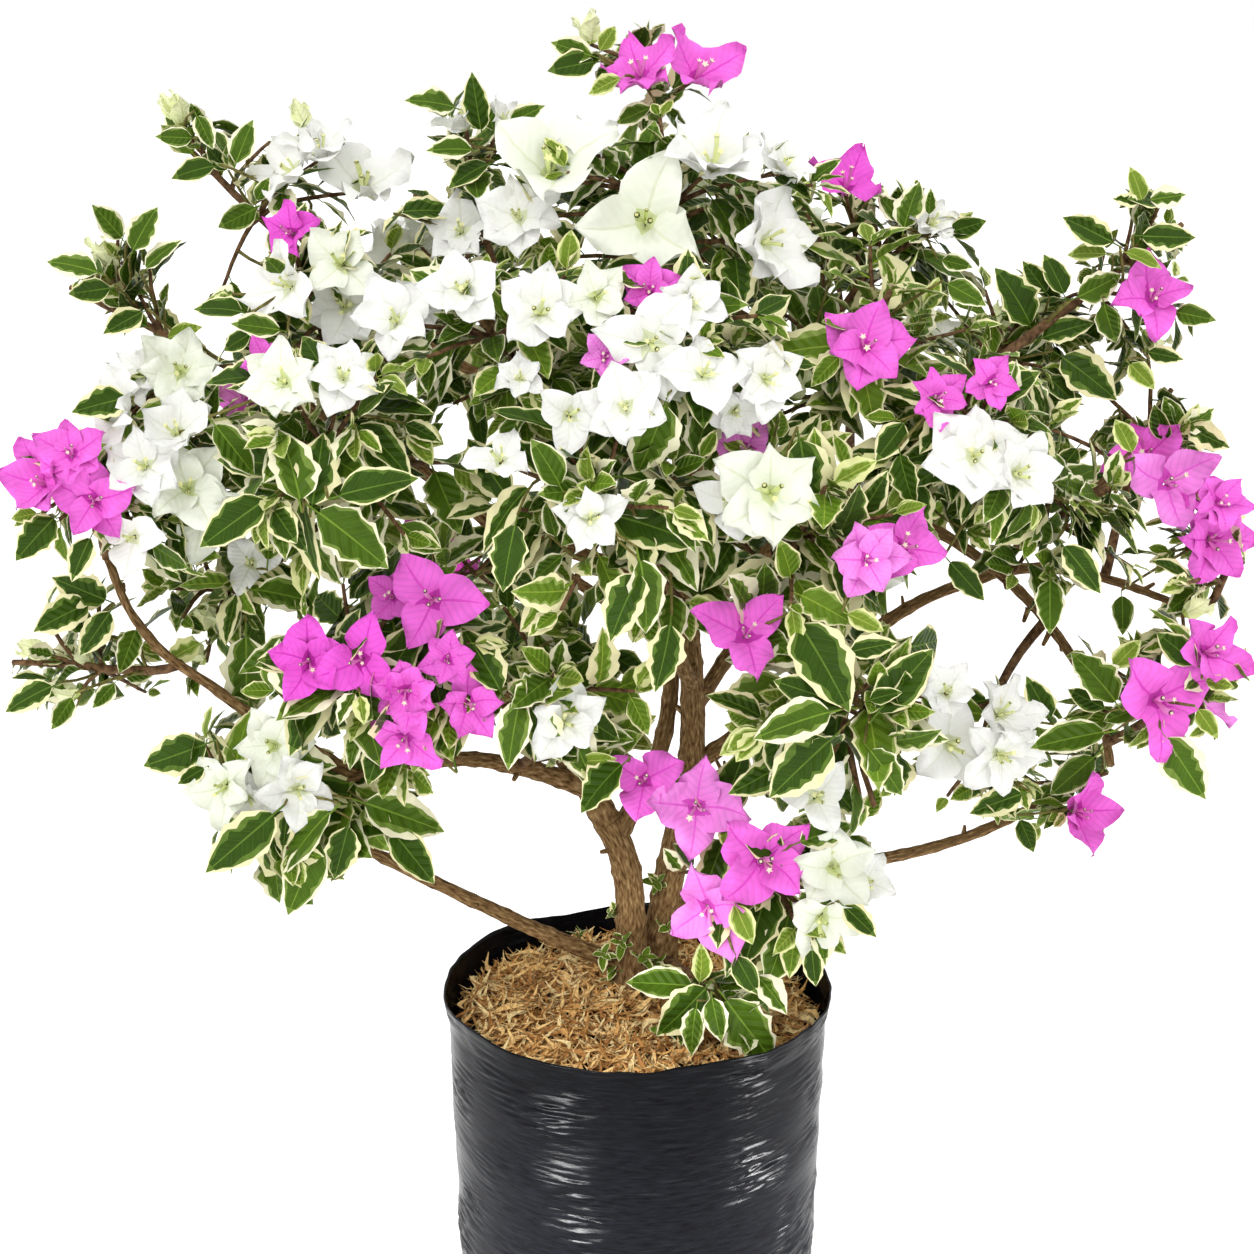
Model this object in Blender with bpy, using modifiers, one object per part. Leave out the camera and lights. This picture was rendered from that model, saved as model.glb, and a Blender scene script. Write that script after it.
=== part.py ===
"""A bougainvillea bush in a black nursery bag, as solids: the bag, its fill of potting mix, two stems,
the boughs that they carry, and the masses of twigs, leaves and blooms that grow from those.

Metres, +Z up. The origin is the middle of the bag's flat underside, and -Y is the bush's front.
A (heading, rise) pair is a direction: an angle about +Z from +X, and an angle above the level, in degrees."""

import math
import random

import bmesh
import bpy
from mathutils import Vector, noise
from mathutils.bvhtree import BVHTree

# The bag: film folded up from a round, flat foot, widening to a slightly flared, wavy rim
BAG_HEIGHT = 0.330
BAG_RIM_RADIUS = 0.1515
BAG_WALL_RADIUS = 0.1475
BAG_FOOT_RADIUS = 0.1400
BAG_FLARE_HEIGHT = 0.022
BAG_CORNER = 0.010
BAG_FILM = 0.0020
BAG_SIDES = 40
BAG_LEVELS = (1.0, 0.93, 0.50)
RIM_BAND = 0.10
WALL_WAVE = 0.001
RIM_WAVE = 0.0015

# Waves of the wall and the rim: how many go round, where they start, how they twist with height, their share
WALL_WAVES = ((3, 0.6, 2.0, 1.0), (7, 0.0, -3.0, 0.7))
RIM_WAVES = ((5, 1.0, 0.0, 1.0), (9, 0.0, 0.0, 0.6))

# The potting mix
MIX_TOP = 0.302
MIX_EDGE_DROP = 0.003
MIX_MIDDLE_LEVEL = 0.50
MIX_CORNER = 0.014
MIX_SEAT_RADIUS = 0.075
MIX_CLEARANCE = 0.0007

# How solids keep apart: the gap at a seat, the gap between two masses, and the clearance that leaves keep
# round a limb, and round the stem of another mass
SEAT_GAP = 0.0003
CELL_GAP = 0.0008
LIMB_CLEARANCE = 0.0010
STEM_CLEARANCE = 0.0020

# Limbs: the limb that carries it and the share of that limb's length where it leaves (a stem stands in the
# mix), its tip, its direction where it leaves and at its tip, its radius at foot and tip, and its sweep.
LIMBS = {
    "left_stem": ("potting_mix", (-0.001, 0.026), (-0.023, 0.018, 0.458),
        (176, 82), (176, 62), 0.0125, 0.0105, 1.0),
    "right_stem": ("potting_mix", (0.016, 0.056), (0.013, 0.024, 0.694),
        (30, 87), (170, 66), 0.0130, 0.0072, 1.2),
    "left_rising_bough": ("left_stem", 1.0, (-0.24, 0.04, 0.628), (176, 60), (176, 14), 0.0098, 0.0056, 0.9),
    "left_low_limb": ("left_stem", 0.2, (-0.225, -0.05, 0.475), (192, 24), (190, 34), 0.0074, 0.0048, 0.8),
    "right_low_limb": ("right_stem", 0.16, (0.309, 0.03, 0.464), (350, 28), (0, 34), 0.0066, 0.0046, 0.9),
    "left_bough": ("left_rising_bough", 0.12, (-0.208, -0.1, 0.534),
        (200, 26), (200, -10), 0.0076, 0.0052, 1.1),
    "inner_bough": ("left_stem", 0.9, (0.01, 0.175, 0.735), (10, 55), (88, 50), 0.0078, 0.0048, 1.3),
    "right_arch_inner": ("right_stem", 0.48, (0.248, 0.0, 0.655),
        (352, 34), (350, 20), 0.0070, 0.0052, 0.9),
    "right_arch_outer": ("right_arch_inner", 1.0, (0.396, -0.06, 0.648),
        (350, 14), (335, -18), 0.0047, 0.0032, 1.0),
    "right_upper_bough": ("right_stem", 0.8, (0.258, 0.0, 0.817), (335, 46), (20, 30), 0.0066, 0.0046, 1.0),
    "right_drop_limb": ("right_upper_bough", 0.52, (0.342, -0.08, 0.537),
        (4, -14), (310, -82), 0.0046, 0.0038, 1.0),
    "mid_left_bough": ("right_stem", 0.9, (-0.24, -0.02, 0.79), (196, 8), (184, 26), 0.0064, 0.0046, 1.0),
    "leader_left": ("right_stem", 1.0, (-0.07, -0.02, 0.825), (178, 66), (200, 58), 0.0066, 0.0052, 1.0),
    "leader_right": ("right_stem", 0.955, (0.022, 0.02, 0.935), (30, 44), (200, 80), 0.0060, 0.0044, 1.0),
    "high_left_bough": ("leader_left", 0.55, (-0.22, 0.03, 0.872), (176, 24), (176, 40), 0.005, 0.004, 1.0),
    "far_left_limb": ("left_bough", 0.97, (-0.372, -0.08, 0.69), (174, 34), (160, 78), 0.0048, 0.0036, 1.05),
    "front_bough": ("right_stem", 0.68, (0.0, -0.12, 0.77), (262, 20), (268, 56), 0.0062, 0.0044, 1.0),
    "front_right_bough": ("right_stem", 0.42, (0.095, -0.11, 0.585),
        (300, 24), (290, 42), 0.006, 0.0044, 1.0),
    "back_left_bough": ("inner_bough", 0.5, (-0.17, 0.17, 0.7), (165, 24), (160, 34), 0.0055, 0.0045, 1.0),
    "back_right_bough": ("right_stem", 0.62, (0.18, 0.15, 0.72), (44, 36), (30, 34), 0.0066, 0.0046, 1.0),
}
STEM_SET = 0.004
STEM_FLARE = 0.0045
STEM_FLARE_LENGTH = 0.025
LIMB_STATIONS = 7
LIMB_KINK = 0.0030
KINK_LENGTH = 0.055
KINK_SEED = (1.7, 0.31, 0.53)
# The seed of the noise that kinks the limbs
NOISE_SEED = 1795475751
SHARE_STEPS = 12

# Masses: the limb that carries it, the share of that limb's length where its stem leaves, its middle, how far
# it reaches from there along X, Y and Z, the length of its leaves, and its counts of side twigs and leaves.
MASSES = {
    "top": ("leader_right", 1.0, (0.012, 0.02, 0.997), (0.086, 0.066, 0.066), 0.056, 3, 11),
    "top_centre": ("leader_right", 0.62, (0.024, -0.055, 0.918), (0.14, 0.078, 0.084), 0.076, 4, 13),
    "upper_left": ("leader_left", 1.0, (-0.115, 0.04, 0.927), (0.096, 0.078, 0.1), 0.07, 3, 12),
    "high_left": ("high_left_bough", 1.0, (-0.283, 0.06, 0.924), (0.102, 0.074, 0.094), 0.068, 3, 12),
    "left_tip": ("mid_left_bough", 1.0, (-0.376, 0.02, 0.85), (0.086, 0.072, 0.084), 0.068, 3, 12),
    "left_shoulder": ("mid_left_bough", 0.88, (-0.216, -0.08, 0.857), (0.084, 0.079, 0.079), 0.068, 3, 8),
    "left_centre": ("mid_left_bough", 0.7, (-0.192, -0.18, 0.779), (0.096, 0.082, 0.088), 0.082, 3, 11),
    "centre_left_upper": ("leader_left", 0.75, (-0.09, -0.14, 0.845), (0.088, 0.076, 0.086), 0.074, 3, 12),
    "centre_upper": ("front_bough", 1.0, (0.02, -0.16, 0.84), (0.089, 0.079, 0.084), 0.07, 3, 9),
    "centre": ("front_bough", 0.72, (-0.02, -0.2, 0.748), (0.104, 0.08, 0.09), 0.082, 3, 12),
    "centre_low": ("left_bough", 0.3, (-0.053, -0.16, 0.625), (0.074, 0.072, 0.074), 0.082, 3, 11),
    "centre_right": ("front_right_bough", 0.8, (0.102, -0.18, 0.728), (0.086, 0.08, 0.086), 0.082, 3, 11),
    "left_magenta": ("left_bough", 0.8, (-0.178, -0.18, 0.64), (0.094, 0.08, 0.086), 0.08, 3, 10),
    "left_low_mid": ("left_rising_bough", 1.0, (-0.299, -0.005, 0.647),
        (0.082, 0.074, 0.078), 0.076, 3, 11),
    "left_outer": ("far_left_limb", 1.0, (-0.341, -0.08, 0.754), (0.094, 0.079, 0.082), 0.076, 3, 8),
    "left_low_outer": ("far_left_limb", 0.6, (-0.404, -0.045, 0.606), (0.082, 0.066, 0.074), 0.07, 3, 11),
    "lower_left": ("left_low_limb", 1.0, (-0.25, -0.1, 0.512), (0.105, 0.07, 0.09), 0.08, 4, 13),
    "upper_right": ("leader_right", 0.3, (0.179, 0.06, 0.899), (0.089, 0.077, 0.079), 0.07, 3, 12),
    "far_upper_right": ("right_upper_bough", 1.0, (0.364, 0.06, 0.879), (0.082, 0.072, 0.094), 0.07, 3, 12),
    "right_high": ("right_upper_bough", 0.86, (0.284, 0.08, 0.825), (0.082, 0.077, 0.077), 0.07, 3, 12),
    "right_shoulder": ("right_upper_bough", 0.58, (0.15, -0.1, 0.836), (0.09, 0.078, 0.086), 0.074, 3, 12),
    "right_mid": ("right_upper_bough", 0.74, (0.212, -0.14, 0.785), (0.079, 0.074, 0.077), 0.074, 3, 10),
    "right_outer_upper": ("right_arch_outer", 0.62, (0.365, 0.03, 0.758),
        (0.084, 0.072, 0.08), 0.074, 3, 12),
    "right_outer": ("right_arch_outer", 1.0, (0.4, -0.07, 0.692), (0.07, 0.065, 0.067), 0.068, 3, 10),
    "right_low_mid": ("right_arch_outer", 0.15, (0.286, -0.11, 0.73), (0.074, 0.07, 0.07), 0.076, 3, 11),
    "right_drop": ("right_drop_limb", 0.94, (0.366, -0.12, 0.606), (0.072, 0.065, 0.067), 0.08, 3, 9),
    "right_inner_white": ("right_drop_limb", 0.6, (0.232, -0.1, 0.567), (0.07, 0.065, 0.067), 0.076, 3, 7),
    "right_low_tip": ("right_low_limb", 1.0, (0.322, 0.01, 0.495), (0.074, 0.067, 0.067), 0.074, 3, 9),
    "right_front": ("front_right_bough", 1.0, (0.131, -0.2, 0.623), (0.089, 0.084, 0.084), 0.082, 3, 12),
    "front_spray": ("front_right_bough", 0.45, (0.09, -0.16, 0.49), (0.091, 0.079, 0.089), 0.074, 3, 6),
    "base_shoot": ("right_stem", 0.07, (0.062, -0.045, 0.339), (0.069, 0.068, 0.035), 0.064, 3, 12),
    "back_top": ("leader_right", 0.5, (0.07, 0.14, 0.872), (0.105, 0.09, 0.084), 0.096, 4, 12),
    "back_top_left": ("leader_left", 0.9, (-0.13, 0.15, 0.846), (0.105, 0.09, 0.079), 0.096, 4, 12),
    "back_left": ("back_left_bough", 1.0, (-0.25, 0.19, 0.735), (0.11, 0.099, 0.105), 0.096, 4, 12),
    "back_low_left": ("back_left_bough", 0.6, (-0.15, 0.215, 0.605), (0.097, 0.095, 0.081), 0.096, 3, 12),
    "back_centre": ("inner_bough", 1.0, (0.01, 0.25, 0.765), (0.11, 0.099, 0.105), 0.096, 4, 12),
    "back_right": ("back_right_bough", 1.0, (0.265, 0.185, 0.745), (0.11, 0.099, 0.105), 0.096, 4, 12),
    "back_low_right": ("back_right_bough", 0.6, (0.14, 0.225, 0.628), (0.097, 0.095, 0.081), 0.096, 3, 12),
}

# Blooms: the directions from a mass's middle in which its blooms stand
BLOOMS = {
    "top": ((240, 25), (300, 25)),
    "top_centre": ((235, -20), (258, 5), (285, 32), (300, 8), (322, -15)),
    "upper_left": ((260, -25), (295, -10), (315, 15)),
    "high_left": ((285, -20), (295, 15), (335, 0)),
    "left_tip": ((310, -30),),
    "left_shoulder": ((290, 35), (295, -5), (250, 15), (335, -5), (255, -40)),
    "centre_left_upper": ((255, 25), (305, 5)),
    "centre_upper": ((250, 50), (225, 10), (290, 40), (255, 12), (295, 0), (340, -10), (240, -30)),
    "centre": ((250, 10), (182, 25)),
    "centre_low": ((340, -45), (275, -5)),
    "centre_right": ((335, 10), (205, -45), (250, -40), (240, 50), (200, 40)),
    "left_magenta": ((315, 45), (215, 5), (260, 20), (285, -15), (290, -65), (350, -35)),
    "left_low_mid": ((300, 20),),
    "left_outer": ((215, 15), (248, 12), (240, -20), (262, 50), (292, 28), (305, -5), (265, -40)),
    "lower_left": ((285, 50), (305, 25), (245, 20)),
    "upper_right": ((235, 30),),
    "far_upper_right": ((275, -25),),
    "right_shoulder": ((240, 5), (275, 5)),
    "right_mid": ((240, 25), (285, 45), (270, -5), (305, -15)),
    "right_outer_upper": ((250, -10), (290, -25)),
    "right_outer": ((265, 55), (265, 5)),
    "right_drop": ((340, 50), (255, 10)),
    "right_inner_white": ((240, 10), (290, 10), (305, 45)),
    "right_low_tip": ((285, -10),),
    "front_spray": ((210, 45), (272, 15), (240, -20), (340, 45), (325, 0), (335, -35)),
    "back_top": ((60, 20), (110, 40)),
    "back_top_left": ((120, 30), (80, -10)),
    "back_left": ((150, 10), (110, 35), (125, -20)),
    "back_low_left": ((110, -10),),
    "back_centre": ((90, 0), (65, 30), (120, 20)),
    "back_right": ((30, 10), (70, 35), (50, -20)),
    "back_low_right": ((70, -10),),
}
CROWN_HEART = Vector((0.0, 0.02, 0.62))

# Twigs: the radius at foot and tip, and where and how they turn away from the stem of their mass
STEM_RADII = (0.0042, 0.0028)
TWIG_RADII = (0.0024, 0.0020)
STEM_STATIONS = 4
TWIG_STATIONS = 3
STEM_SWEEP = 0.9
STEM_TURN = 0.6
TWIG_SWEEP = 0.8
TWIG_FOLLOW = 0.6
TWIG_TURN_OUT = 0.13
TWIG_BACKSET = 0.16
TWIG_OUTERMOST = 0.92
TWIG_INNERMOST = 0.6
TWIG_LEAST_REACH = 0.45
INNERMOST_STEPS = 20
TWIG_SPREAD = (0.45, -0.70)

# Leaves: octahedra, drawn out along the blade and folded along the midrib. A place is the share of its
# twig's length where a leaf may stand, and how far it leans away from the twig there, in degrees.
LEAF_PLACES = ((0.96, 62), (0.90, 74), (0.96, 40), (0.70, 70), (0.84, 80))
LEAF_PLACES_UNDER_BLOOM = ((0.74, 84), (0.56, 70))
LEAF_LEAN_SPREAD = 12
LEAF_SIZE_SPREAD = (0.90, 1.12)
LEAF_SHRINK = 0.34
LEAF_TRIES = 12
LEAF_WIDTH = 0.66
LEAF_WIDEST_AT = 0.42
LEAF_THICKNESS = 0.040
LEAF_FOLD = 0.16
LEAF_DROOP = 0.10
LEAF_ROOT_DEPTH = 0.45
LEAF_RUN_PAST_TWIG = 0.62
LIGHT_FROM_ABOVE = 0.4
LIGHT_ALONG_TWIG = 0.3
GOLDEN_ANGLE = math.radians(137.5)

# Blooms: three bracts as one cup, with a point for each bract and a notch between every two. The shares are
# how far out towards the rim of its mass a bloom may stand, tried in turn.
BRACTS = 3
BLOOM_RADIUS = 0.042
BLOOM_DEPTH = 0.026
BLOOM_NOTCH_RADIUS = 0.021
BLOOM_NOTCH_DEPTH = 0.015
BLOOM_FLOOR = 0.006
BLOOM_ROOT_DEPTH = 0.003
BLOOM_TURN = 1.1
BLOOM_FOLLOW = 0.5
BLOOM_SHARES = (0.62, 0.52, 0.42, 0.30)

# Colour, roughness of each material
MATERIALS = {
    "film": ((0.020, 0.021, 0.024), 0.38),
    "mix": ((0.330, 0.180, 0.070), 0.90),
    "bark": ((0.135, 0.075, 0.040), 0.85),
    "foliage": ((0.090, 0.210, 0.050), 0.55),
}


def direction(heading, rise):
    """The unit vector that points along a (heading, rise) pair."""
    level = math.cos(math.radians(rise))
    turn = math.radians(heading)
    return Vector((level * math.cos(turn), level * math.sin(turn), math.sin(math.radians(rise))))


def sweep_between(start, leave, end, arrive, strength, stations):
    """Points along a smooth curve that leaves and arrives along two unit vectors."""
    pull = (end - start).length * strength
    points = []
    for index in range(stations):
        t = index / (stations - 1)
        from_start = start * (2 * t**3 - 3 * t**2 + 1) + leave * pull * (t**3 - 2 * t**2 + t)
        from_end = end * (3 * t**2 - 2 * t**3) + arrive * pull * (t**3 - t**2)
        points.append(from_start + from_end)
    return points


class Branch:
    """A run of points with a radius at each, from foot to tip."""

    def __init__(self, points, radii):
        self.points = points
        self.radii = radii

    def at(self, share):
        """The point, the direction and the radius at a share of the points' run."""
        place = min(max(share, 0.0), 1.0) * (len(self.points) - 1)
        index = min(int(place), len(self.points) - 2)
        rest = place - index
        point = self.points[index].lerp(self.points[index + 1], rest)
        heading = (self.points[index + 1] - self.points[index]).normalized()
        radius = self.radii[index] * (1 - rest) + self.radii[index + 1] * rest
        return point, heading, radius

    def nearest_share(self, target, low, high):
        """The share between low and high whose point lies nearest to the target."""
        shares = [low + (high - low) * step / SHARE_STEPS for step in range(SHARE_STEPS + 1)]
        return min(shares, key=lambda share: (self.at(share)[0] - target).length)


def make_material(name):
    """A plain Principled material from the table."""
    colour, roughness = MATERIALS[name]
    material = bpy.data.materials.new(name)
    material.use_nodes = True
    surface = material.node_tree.nodes["Principled BSDF"]
    surface.inputs["Base Color"].default_value = (*colour, 1.0)
    surface.inputs["Roughness"].default_value = roughness
    return material


def add_object(name, data, collection):
    """A new object of the data, linked to the collection."""
    thing = bpy.data.objects.new(name, data)
    collection.objects.link(thing)
    return thing


def evaluated_mesh(thing):
    """A new mesh of the object with its modifiers, or its bevel, applied, welded and facing out."""
    bpy.context.view_layer.update()
    seen = thing.evaluated_get(bpy.context.evaluated_depsgraph_get())
    mesh = bpy.data.meshes.new_from_object(seen)
    mesh.transform(thing.matrix_world)
    work = bmesh.new()
    work.from_mesh(mesh)
    bmesh.ops.remove_doubles(work, verts=work.verts, dist=1e-6)
    bmesh.ops.recalc_face_normals(work, faces=work.faces)
    work.to_mesh(mesh)
    work.free()
    return mesh


def dress(thing, material):
    """Give a mesh object one material."""
    thing.data.materials.clear()
    thing.data.materials.append(material)


def remove_object(thing):
    """Take an object out of the file."""
    bpy.data.objects.remove(thing)


def three_sided_section(collection):
    """A small triangle, one unit from middle to corner, that a twig's curve is swept with."""
    outline = bpy.data.curves.new("twig_section", "CURVE")
    outline.dimensions = "2D"
    spline = outline.splines.new("POLY")
    spline.points.add(2)
    for corner, point in enumerate(spline.points):
        turn = math.tau * corner / 3
        point.co = (math.cos(turn), math.sin(turn), 0.0, 1.0)
    spline.use_cyclic_u = True
    section = add_object("twig_section", outline, collection)
    section.hide_render = True
    return section


def tube(name, branch, collection, section=None):
    """A closed tube along a branch: round, or with the shape of a section object."""
    path = bpy.data.curves.new(name, "CURVE")
    path.dimensions = "3D"
    path.use_fill_caps = True
    if section:
        path.bevel_mode = "OBJECT"
        path.bevel_object = section
    else:
        path.bevel_depth = 1.0
        path.bevel_resolution = 2
    spline = path.splines.new("POLY")
    spline.points.add(len(branch.points) - 1)
    for point, place, radius in zip(spline.points, branch.points, branch.radii):
        point.co = (*place, 1.0)
        point.radius = radius
    curve = add_object(name, path, collection)
    mesh = evaluated_mesh(curve)
    remove_object(curve)
    return add_object(name, mesh, collection)


def swollen_copy(thing, gap, collection):
    """A copy of a solid whose surface stands a gap further out."""
    mesh = thing.data.copy() if not thing.modifiers else evaluated_mesh(thing)
    work = bmesh.new()
    work.from_mesh(mesh)
    work.normal_update()
    for vert in work.verts:
        vert.co += vert.normal * gap * vert.calc_shell_factor()
    work.to_mesh(mesh)
    work.free()
    return add_object(thing.name + "_swollen", mesh, collection)


def search_tree(thing):
    """A tree of the object's faces, to find what crosses them."""
    work = bmesh.new()
    work.from_mesh(thing.data)
    tree = BVHTree.FromBMesh(work)
    work.free()
    return tree


def keep_largest_piece(mesh):
    """Drop every loose piece of a mesh but the one with the most corners."""
    work = bmesh.new()
    work.from_mesh(mesh)
    unseen = set(work.verts)
    pieces = []
    while unseen:
        piece = set()
        edge_of_piece = [unseen.pop()]
        while edge_of_piece:
            vert = edge_of_piece.pop()
            piece.add(vert)
            for edge in vert.link_edges:
                other = edge.other_vert(vert)
                if other in unseen:
                    unseen.discard(other)
                    edge_of_piece.append(other)
        pieces.append(piece)
    largest = max(pieces, key=len)
    scraps = [vert for piece in pieces if piece is not largest for vert in piece]
    bmesh.ops.delete(work, geom=scraps, context="VERTS")
    work.to_mesh(mesh)
    work.free()


def apply_boolean(thing, operation, **operand):
    """Apply one Boolean modifier to a mesh object, by the first solver that gives a closed result."""
    before = thing.data
    for solver in ("EXACT", "MANIFOLD"):
        modifier = thing.modifiers.new("join", "BOOLEAN")
        modifier.operation = operation
        modifier.solver = solver
        for key, value in operand.items():
            setattr(modifier, key, value)
        mesh = evaluated_mesh(thing)
        thing.modifiers.remove(modifier)
        if is_closed(mesh):
            break
    thing.data = mesh
    keep_largest_piece(mesh)
    bpy.data.meshes.remove(before)


def is_closed(mesh):
    """Whether each edge of the mesh has two faces."""
    work = bmesh.new()
    work.from_mesh(mesh)
    closed = len(work.faces) > 0 and all(len(edge.link_faces) == 2 for edge in work.edges)
    work.free()
    return closed


def seat_on(thing, carrier, collection):
    """Cut the object back to a seat on its carrier, with the seat's gap between them."""
    cutter = swollen_copy(carrier, SEAT_GAP, collection)
    apply_boolean(thing, "DIFFERENCE", object=cutter)
    remove_object(cutter)


def waves(table, turn, share):
    """The sum of a table's waves at an angle and at a share of the bag's height."""
    return sum(part * math.sin(count * turn + start + twist * share) for count, start, twist, part in table)


def bag_radius(turn, height):
    """The outer radius of the bag's wall at an angle and a height, with its long soft folds."""
    share = height / BAG_HEIGHT
    radius = BAG_FOOT_RADIUS + (BAG_WALL_RADIUS - BAG_FOOT_RADIUS) * share
    flare = max(0.0, height - BAG_HEIGHT + BAG_FLARE_HEIGHT) / BAG_FLARE_HEIGHT
    radius += (BAG_RIM_RADIUS - BAG_WALL_RADIUS) * flare
    return radius + WALL_WAVE * share * waves(WALL_WAVES, turn, share)


def turned(name, profile, shape, collection):
    """A profile of (radius share, height) pairs turned about Z, each point then placed by a function."""
    mesh = bpy.data.meshes.new(name)
    verts = [(share, 0.0, height) for share, height in profile]
    mesh.from_pydata(verts, [(index, index + 1) for index in range(len(verts) - 1)], [])
    thing = add_object(name, mesh, collection)
    screw = thing.modifiers.new("turn", "SCREW")
    screw.steps = BAG_SIDES
    screw.render_steps = BAG_SIDES
    screw.use_merge_vertices = True
    screw.merge_threshold = 0.00001
    turned_mesh = evaluated_mesh(thing)
    thing.modifiers.remove(screw)
    thing.data = turned_mesh
    for vert in turned_mesh.vertices:
        vert.co = shape(vert.co)
    return thing


def make_bag(collection, material):
    """The bag: an open turned surface, thickened inward."""
    profile = [(1.0, level * BAG_HEIGHT) for level in BAG_LEVELS] + [(1.0, BAG_CORNER)]
    profile += [(1.0 - BAG_CORNER / BAG_FOOT_RADIUS, 0.0), (0.0, 0.0)]

    def place(point):
        turn = math.atan2(point.y, point.x)
        share = math.hypot(point.x, point.y)
        rim = max(0.0, point.z / BAG_HEIGHT - 1.0 + RIM_BAND) / RIM_BAND
        lift = RIM_WAVE * rim * waves(RIM_WAVES, turn, 1.0)
        radius = bag_radius(turn, point.z) * share
        return Vector((radius * math.cos(turn), radius * math.sin(turn), point.z + lift))

    bag = turned("bag", profile, place, collection)
    bag.data.materials.append(material)
    shell = bag.modifiers.new("film", "SOLIDIFY")
    shell.thickness = BAG_FILM
    shell.offset = -1.0
    shell.use_even_offset = True
    return bag


def make_mix(collection, material):
    """The potting mix: a turned solid just inside the film, flat on top where the stems stand."""
    foot = BAG_FILM + SEAT_GAP
    seat = MIX_SEAT_RADIUS / BAG_WALL_RADIUS
    profile = [(0.0, MIX_TOP), (seat, MIX_TOP), (1.0, MIX_TOP - MIX_EDGE_DROP)]
    profile += [(1.0, MIX_MIDDLE_LEVEL * BAG_HEIGHT), (1.0, MIX_CORNER)]
    profile += [(1.0 - BAG_CORNER / BAG_FOOT_RADIUS, foot), (0.0, foot)]

    def place(point):
        turn = math.atan2(point.y, point.x)
        share = math.hypot(point.x, point.y)
        radius = (bag_radius(turn, point.z) - BAG_FILM - MIX_CLEARANCE) * share
        return Vector((radius * math.cos(turn), radius * math.sin(turn), point.z))

    mix = turned("potting_mix", profile, place, collection)
    mix.data.materials.append(material)
    return mix


def kinked(points, name):
    """The same points, pushed sideways by a soft noise that fades out at both ends."""
    by_length, by_first, by_last = KINK_SEED
    shift = Vector((len(name) * by_length, ord(name[0]) * by_first, ord(name[-1]) * by_last))
    last = len(points) - 1
    result = []
    for index, point in enumerate(points):
        fade = math.sin(math.pi * index / last)
        result.append(point + noise.noise_vector(point / KINK_LENGTH + shift) * LIMB_KINK * fade)
    return result


def limb_branch(name, branches):
    """The run of one limb, worked out from its row and from the limb that carries it."""
    carrier, place, tip, leave, arrive, foot_radius, tip_radius, sweep = LIMBS[name]
    leave = direction(*leave)
    if carrier == "potting_mix":
        start = Vector((*place, MIX_TOP - STEM_SET))
    else:
        start, along, _ = branches[carrier].at(place)
        if place == 1.0:
            leave = along
            start = start + along * SEAT_GAP
    points = sweep_between(start, leave, Vector(tip), direction(*arrive), sweep, LIMB_STATIONS)
    radii = []
    for index, point in enumerate(points):
        share = index / (LIMB_STATIONS - 1)
        radius = foot_radius + (tip_radius - foot_radius) * share
        if carrier == "potting_mix":
            radius += STEM_FLARE * math.exp(-(point.z - start.z) / STEM_FLARE_LENGTH)
        radii.append(radius)
    return Branch(kinked(points, name), radii)


def make_limbs(solids, collection, scraps, material):
    """Every limb in the table, each cut back to a seat on whatever it grows out of."""
    branches = {}
    for name in LIMBS:
        branches[name] = limb_branch(name, branches)
        limb = tube(name, branches[name], collection)
        crossed = search_tree(limb)
        for other in list(solids.values()):
            if other.name != "bag" and crossed.overlap(search_tree(other)):
                seat_on(limb, other, scraps)
        dress(limb, material)
        solids[name] = limb
    return branches


class Cell:
    """The space of one mass: its ellipsoid, cut off by a plane towards each neighbour."""

    def __init__(self, name):
        _, _, middle, reach, *_ = MASSES[name]
        self.middle = Vector(middle)
        self.reach = Vector(reach)
        self.mean_reach = sum(reach) / 3
        self.planes = []
        for other, row in MASSES.items():
            step = Vector(row[2]) - self.middle
            if other == name or step.length > max(reach) + max(row[3]):
                continue
            other_reach = sum(row[3]) / 3
            split = (step.length_squared + self.mean_reach**2 - other_reach**2) / (2 * step.length)
            self.planes.append((step.normalized(), split - CELL_GAP / 2))

    def holds(self, point):
        """Whether the point is in the space."""
        step = point - self.middle
        if Vector(step[axis] / self.reach[axis] for axis in range(3)).length > 1.0:
            return False
        return all(step.dot(normal) < split for normal, split in self.planes)

    def rim_point(self, heading, share):
        """The point at a share of the way from the middle to the rim of the space."""
        step = Vector(heading[axis] * self.reach[axis] for axis in range(3)) * share
        for normal, split in self.planes:
            depth = step.dot(normal)
            if depth > split * share > 0:
                step *= split * share / depth
        return self.middle + step


def spin(axis, lean, turn):
    """The unit vector that leans away from an axis by one angle, turned about it by another, in radians."""
    ring = axis.to_track_quat("Z", "Y")
    return ring @ Vector((math.sin(lean) * math.cos(turn), math.sin(lean) * math.sin(turn), math.cos(lean)))


def make_leaf(root, along, facing, length, collection):
    """A leaf: an octahedron with one corner at the root, drawn out along its blade and folded."""
    side = facing.cross(along).normalized()
    up = along.cross(side).normalized()
    width = length * LEAF_WIDTH
    mesh = bpy.data.meshes.new("leaf")
    work = bmesh.new()
    bmesh.ops.create_uvsphere(work, u_segments=4, v_segments=2, radius=1.0)
    for vert in work.verts:
        lift, across, run = vert.co
        behind = LEAF_WIDEST_AT * (1 + min(run, 0.0))
        reach = behind + (1 - LEAF_WIDEST_AT) * max(run, 0.0)
        rise = lift * LEAF_THICKNESS * length / 2 + abs(across) * LEAF_FOLD * width
        rise -= max(run, 0.0) * LEAF_DROOP * length
        vert.co = root + along * reach * length + side * across * width / 2 + up * rise
    bmesh.ops.recalc_face_normals(work, faces=work.faces)
    work.to_mesh(mesh)
    work.free()
    return add_object("leaf", mesh, collection)


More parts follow.
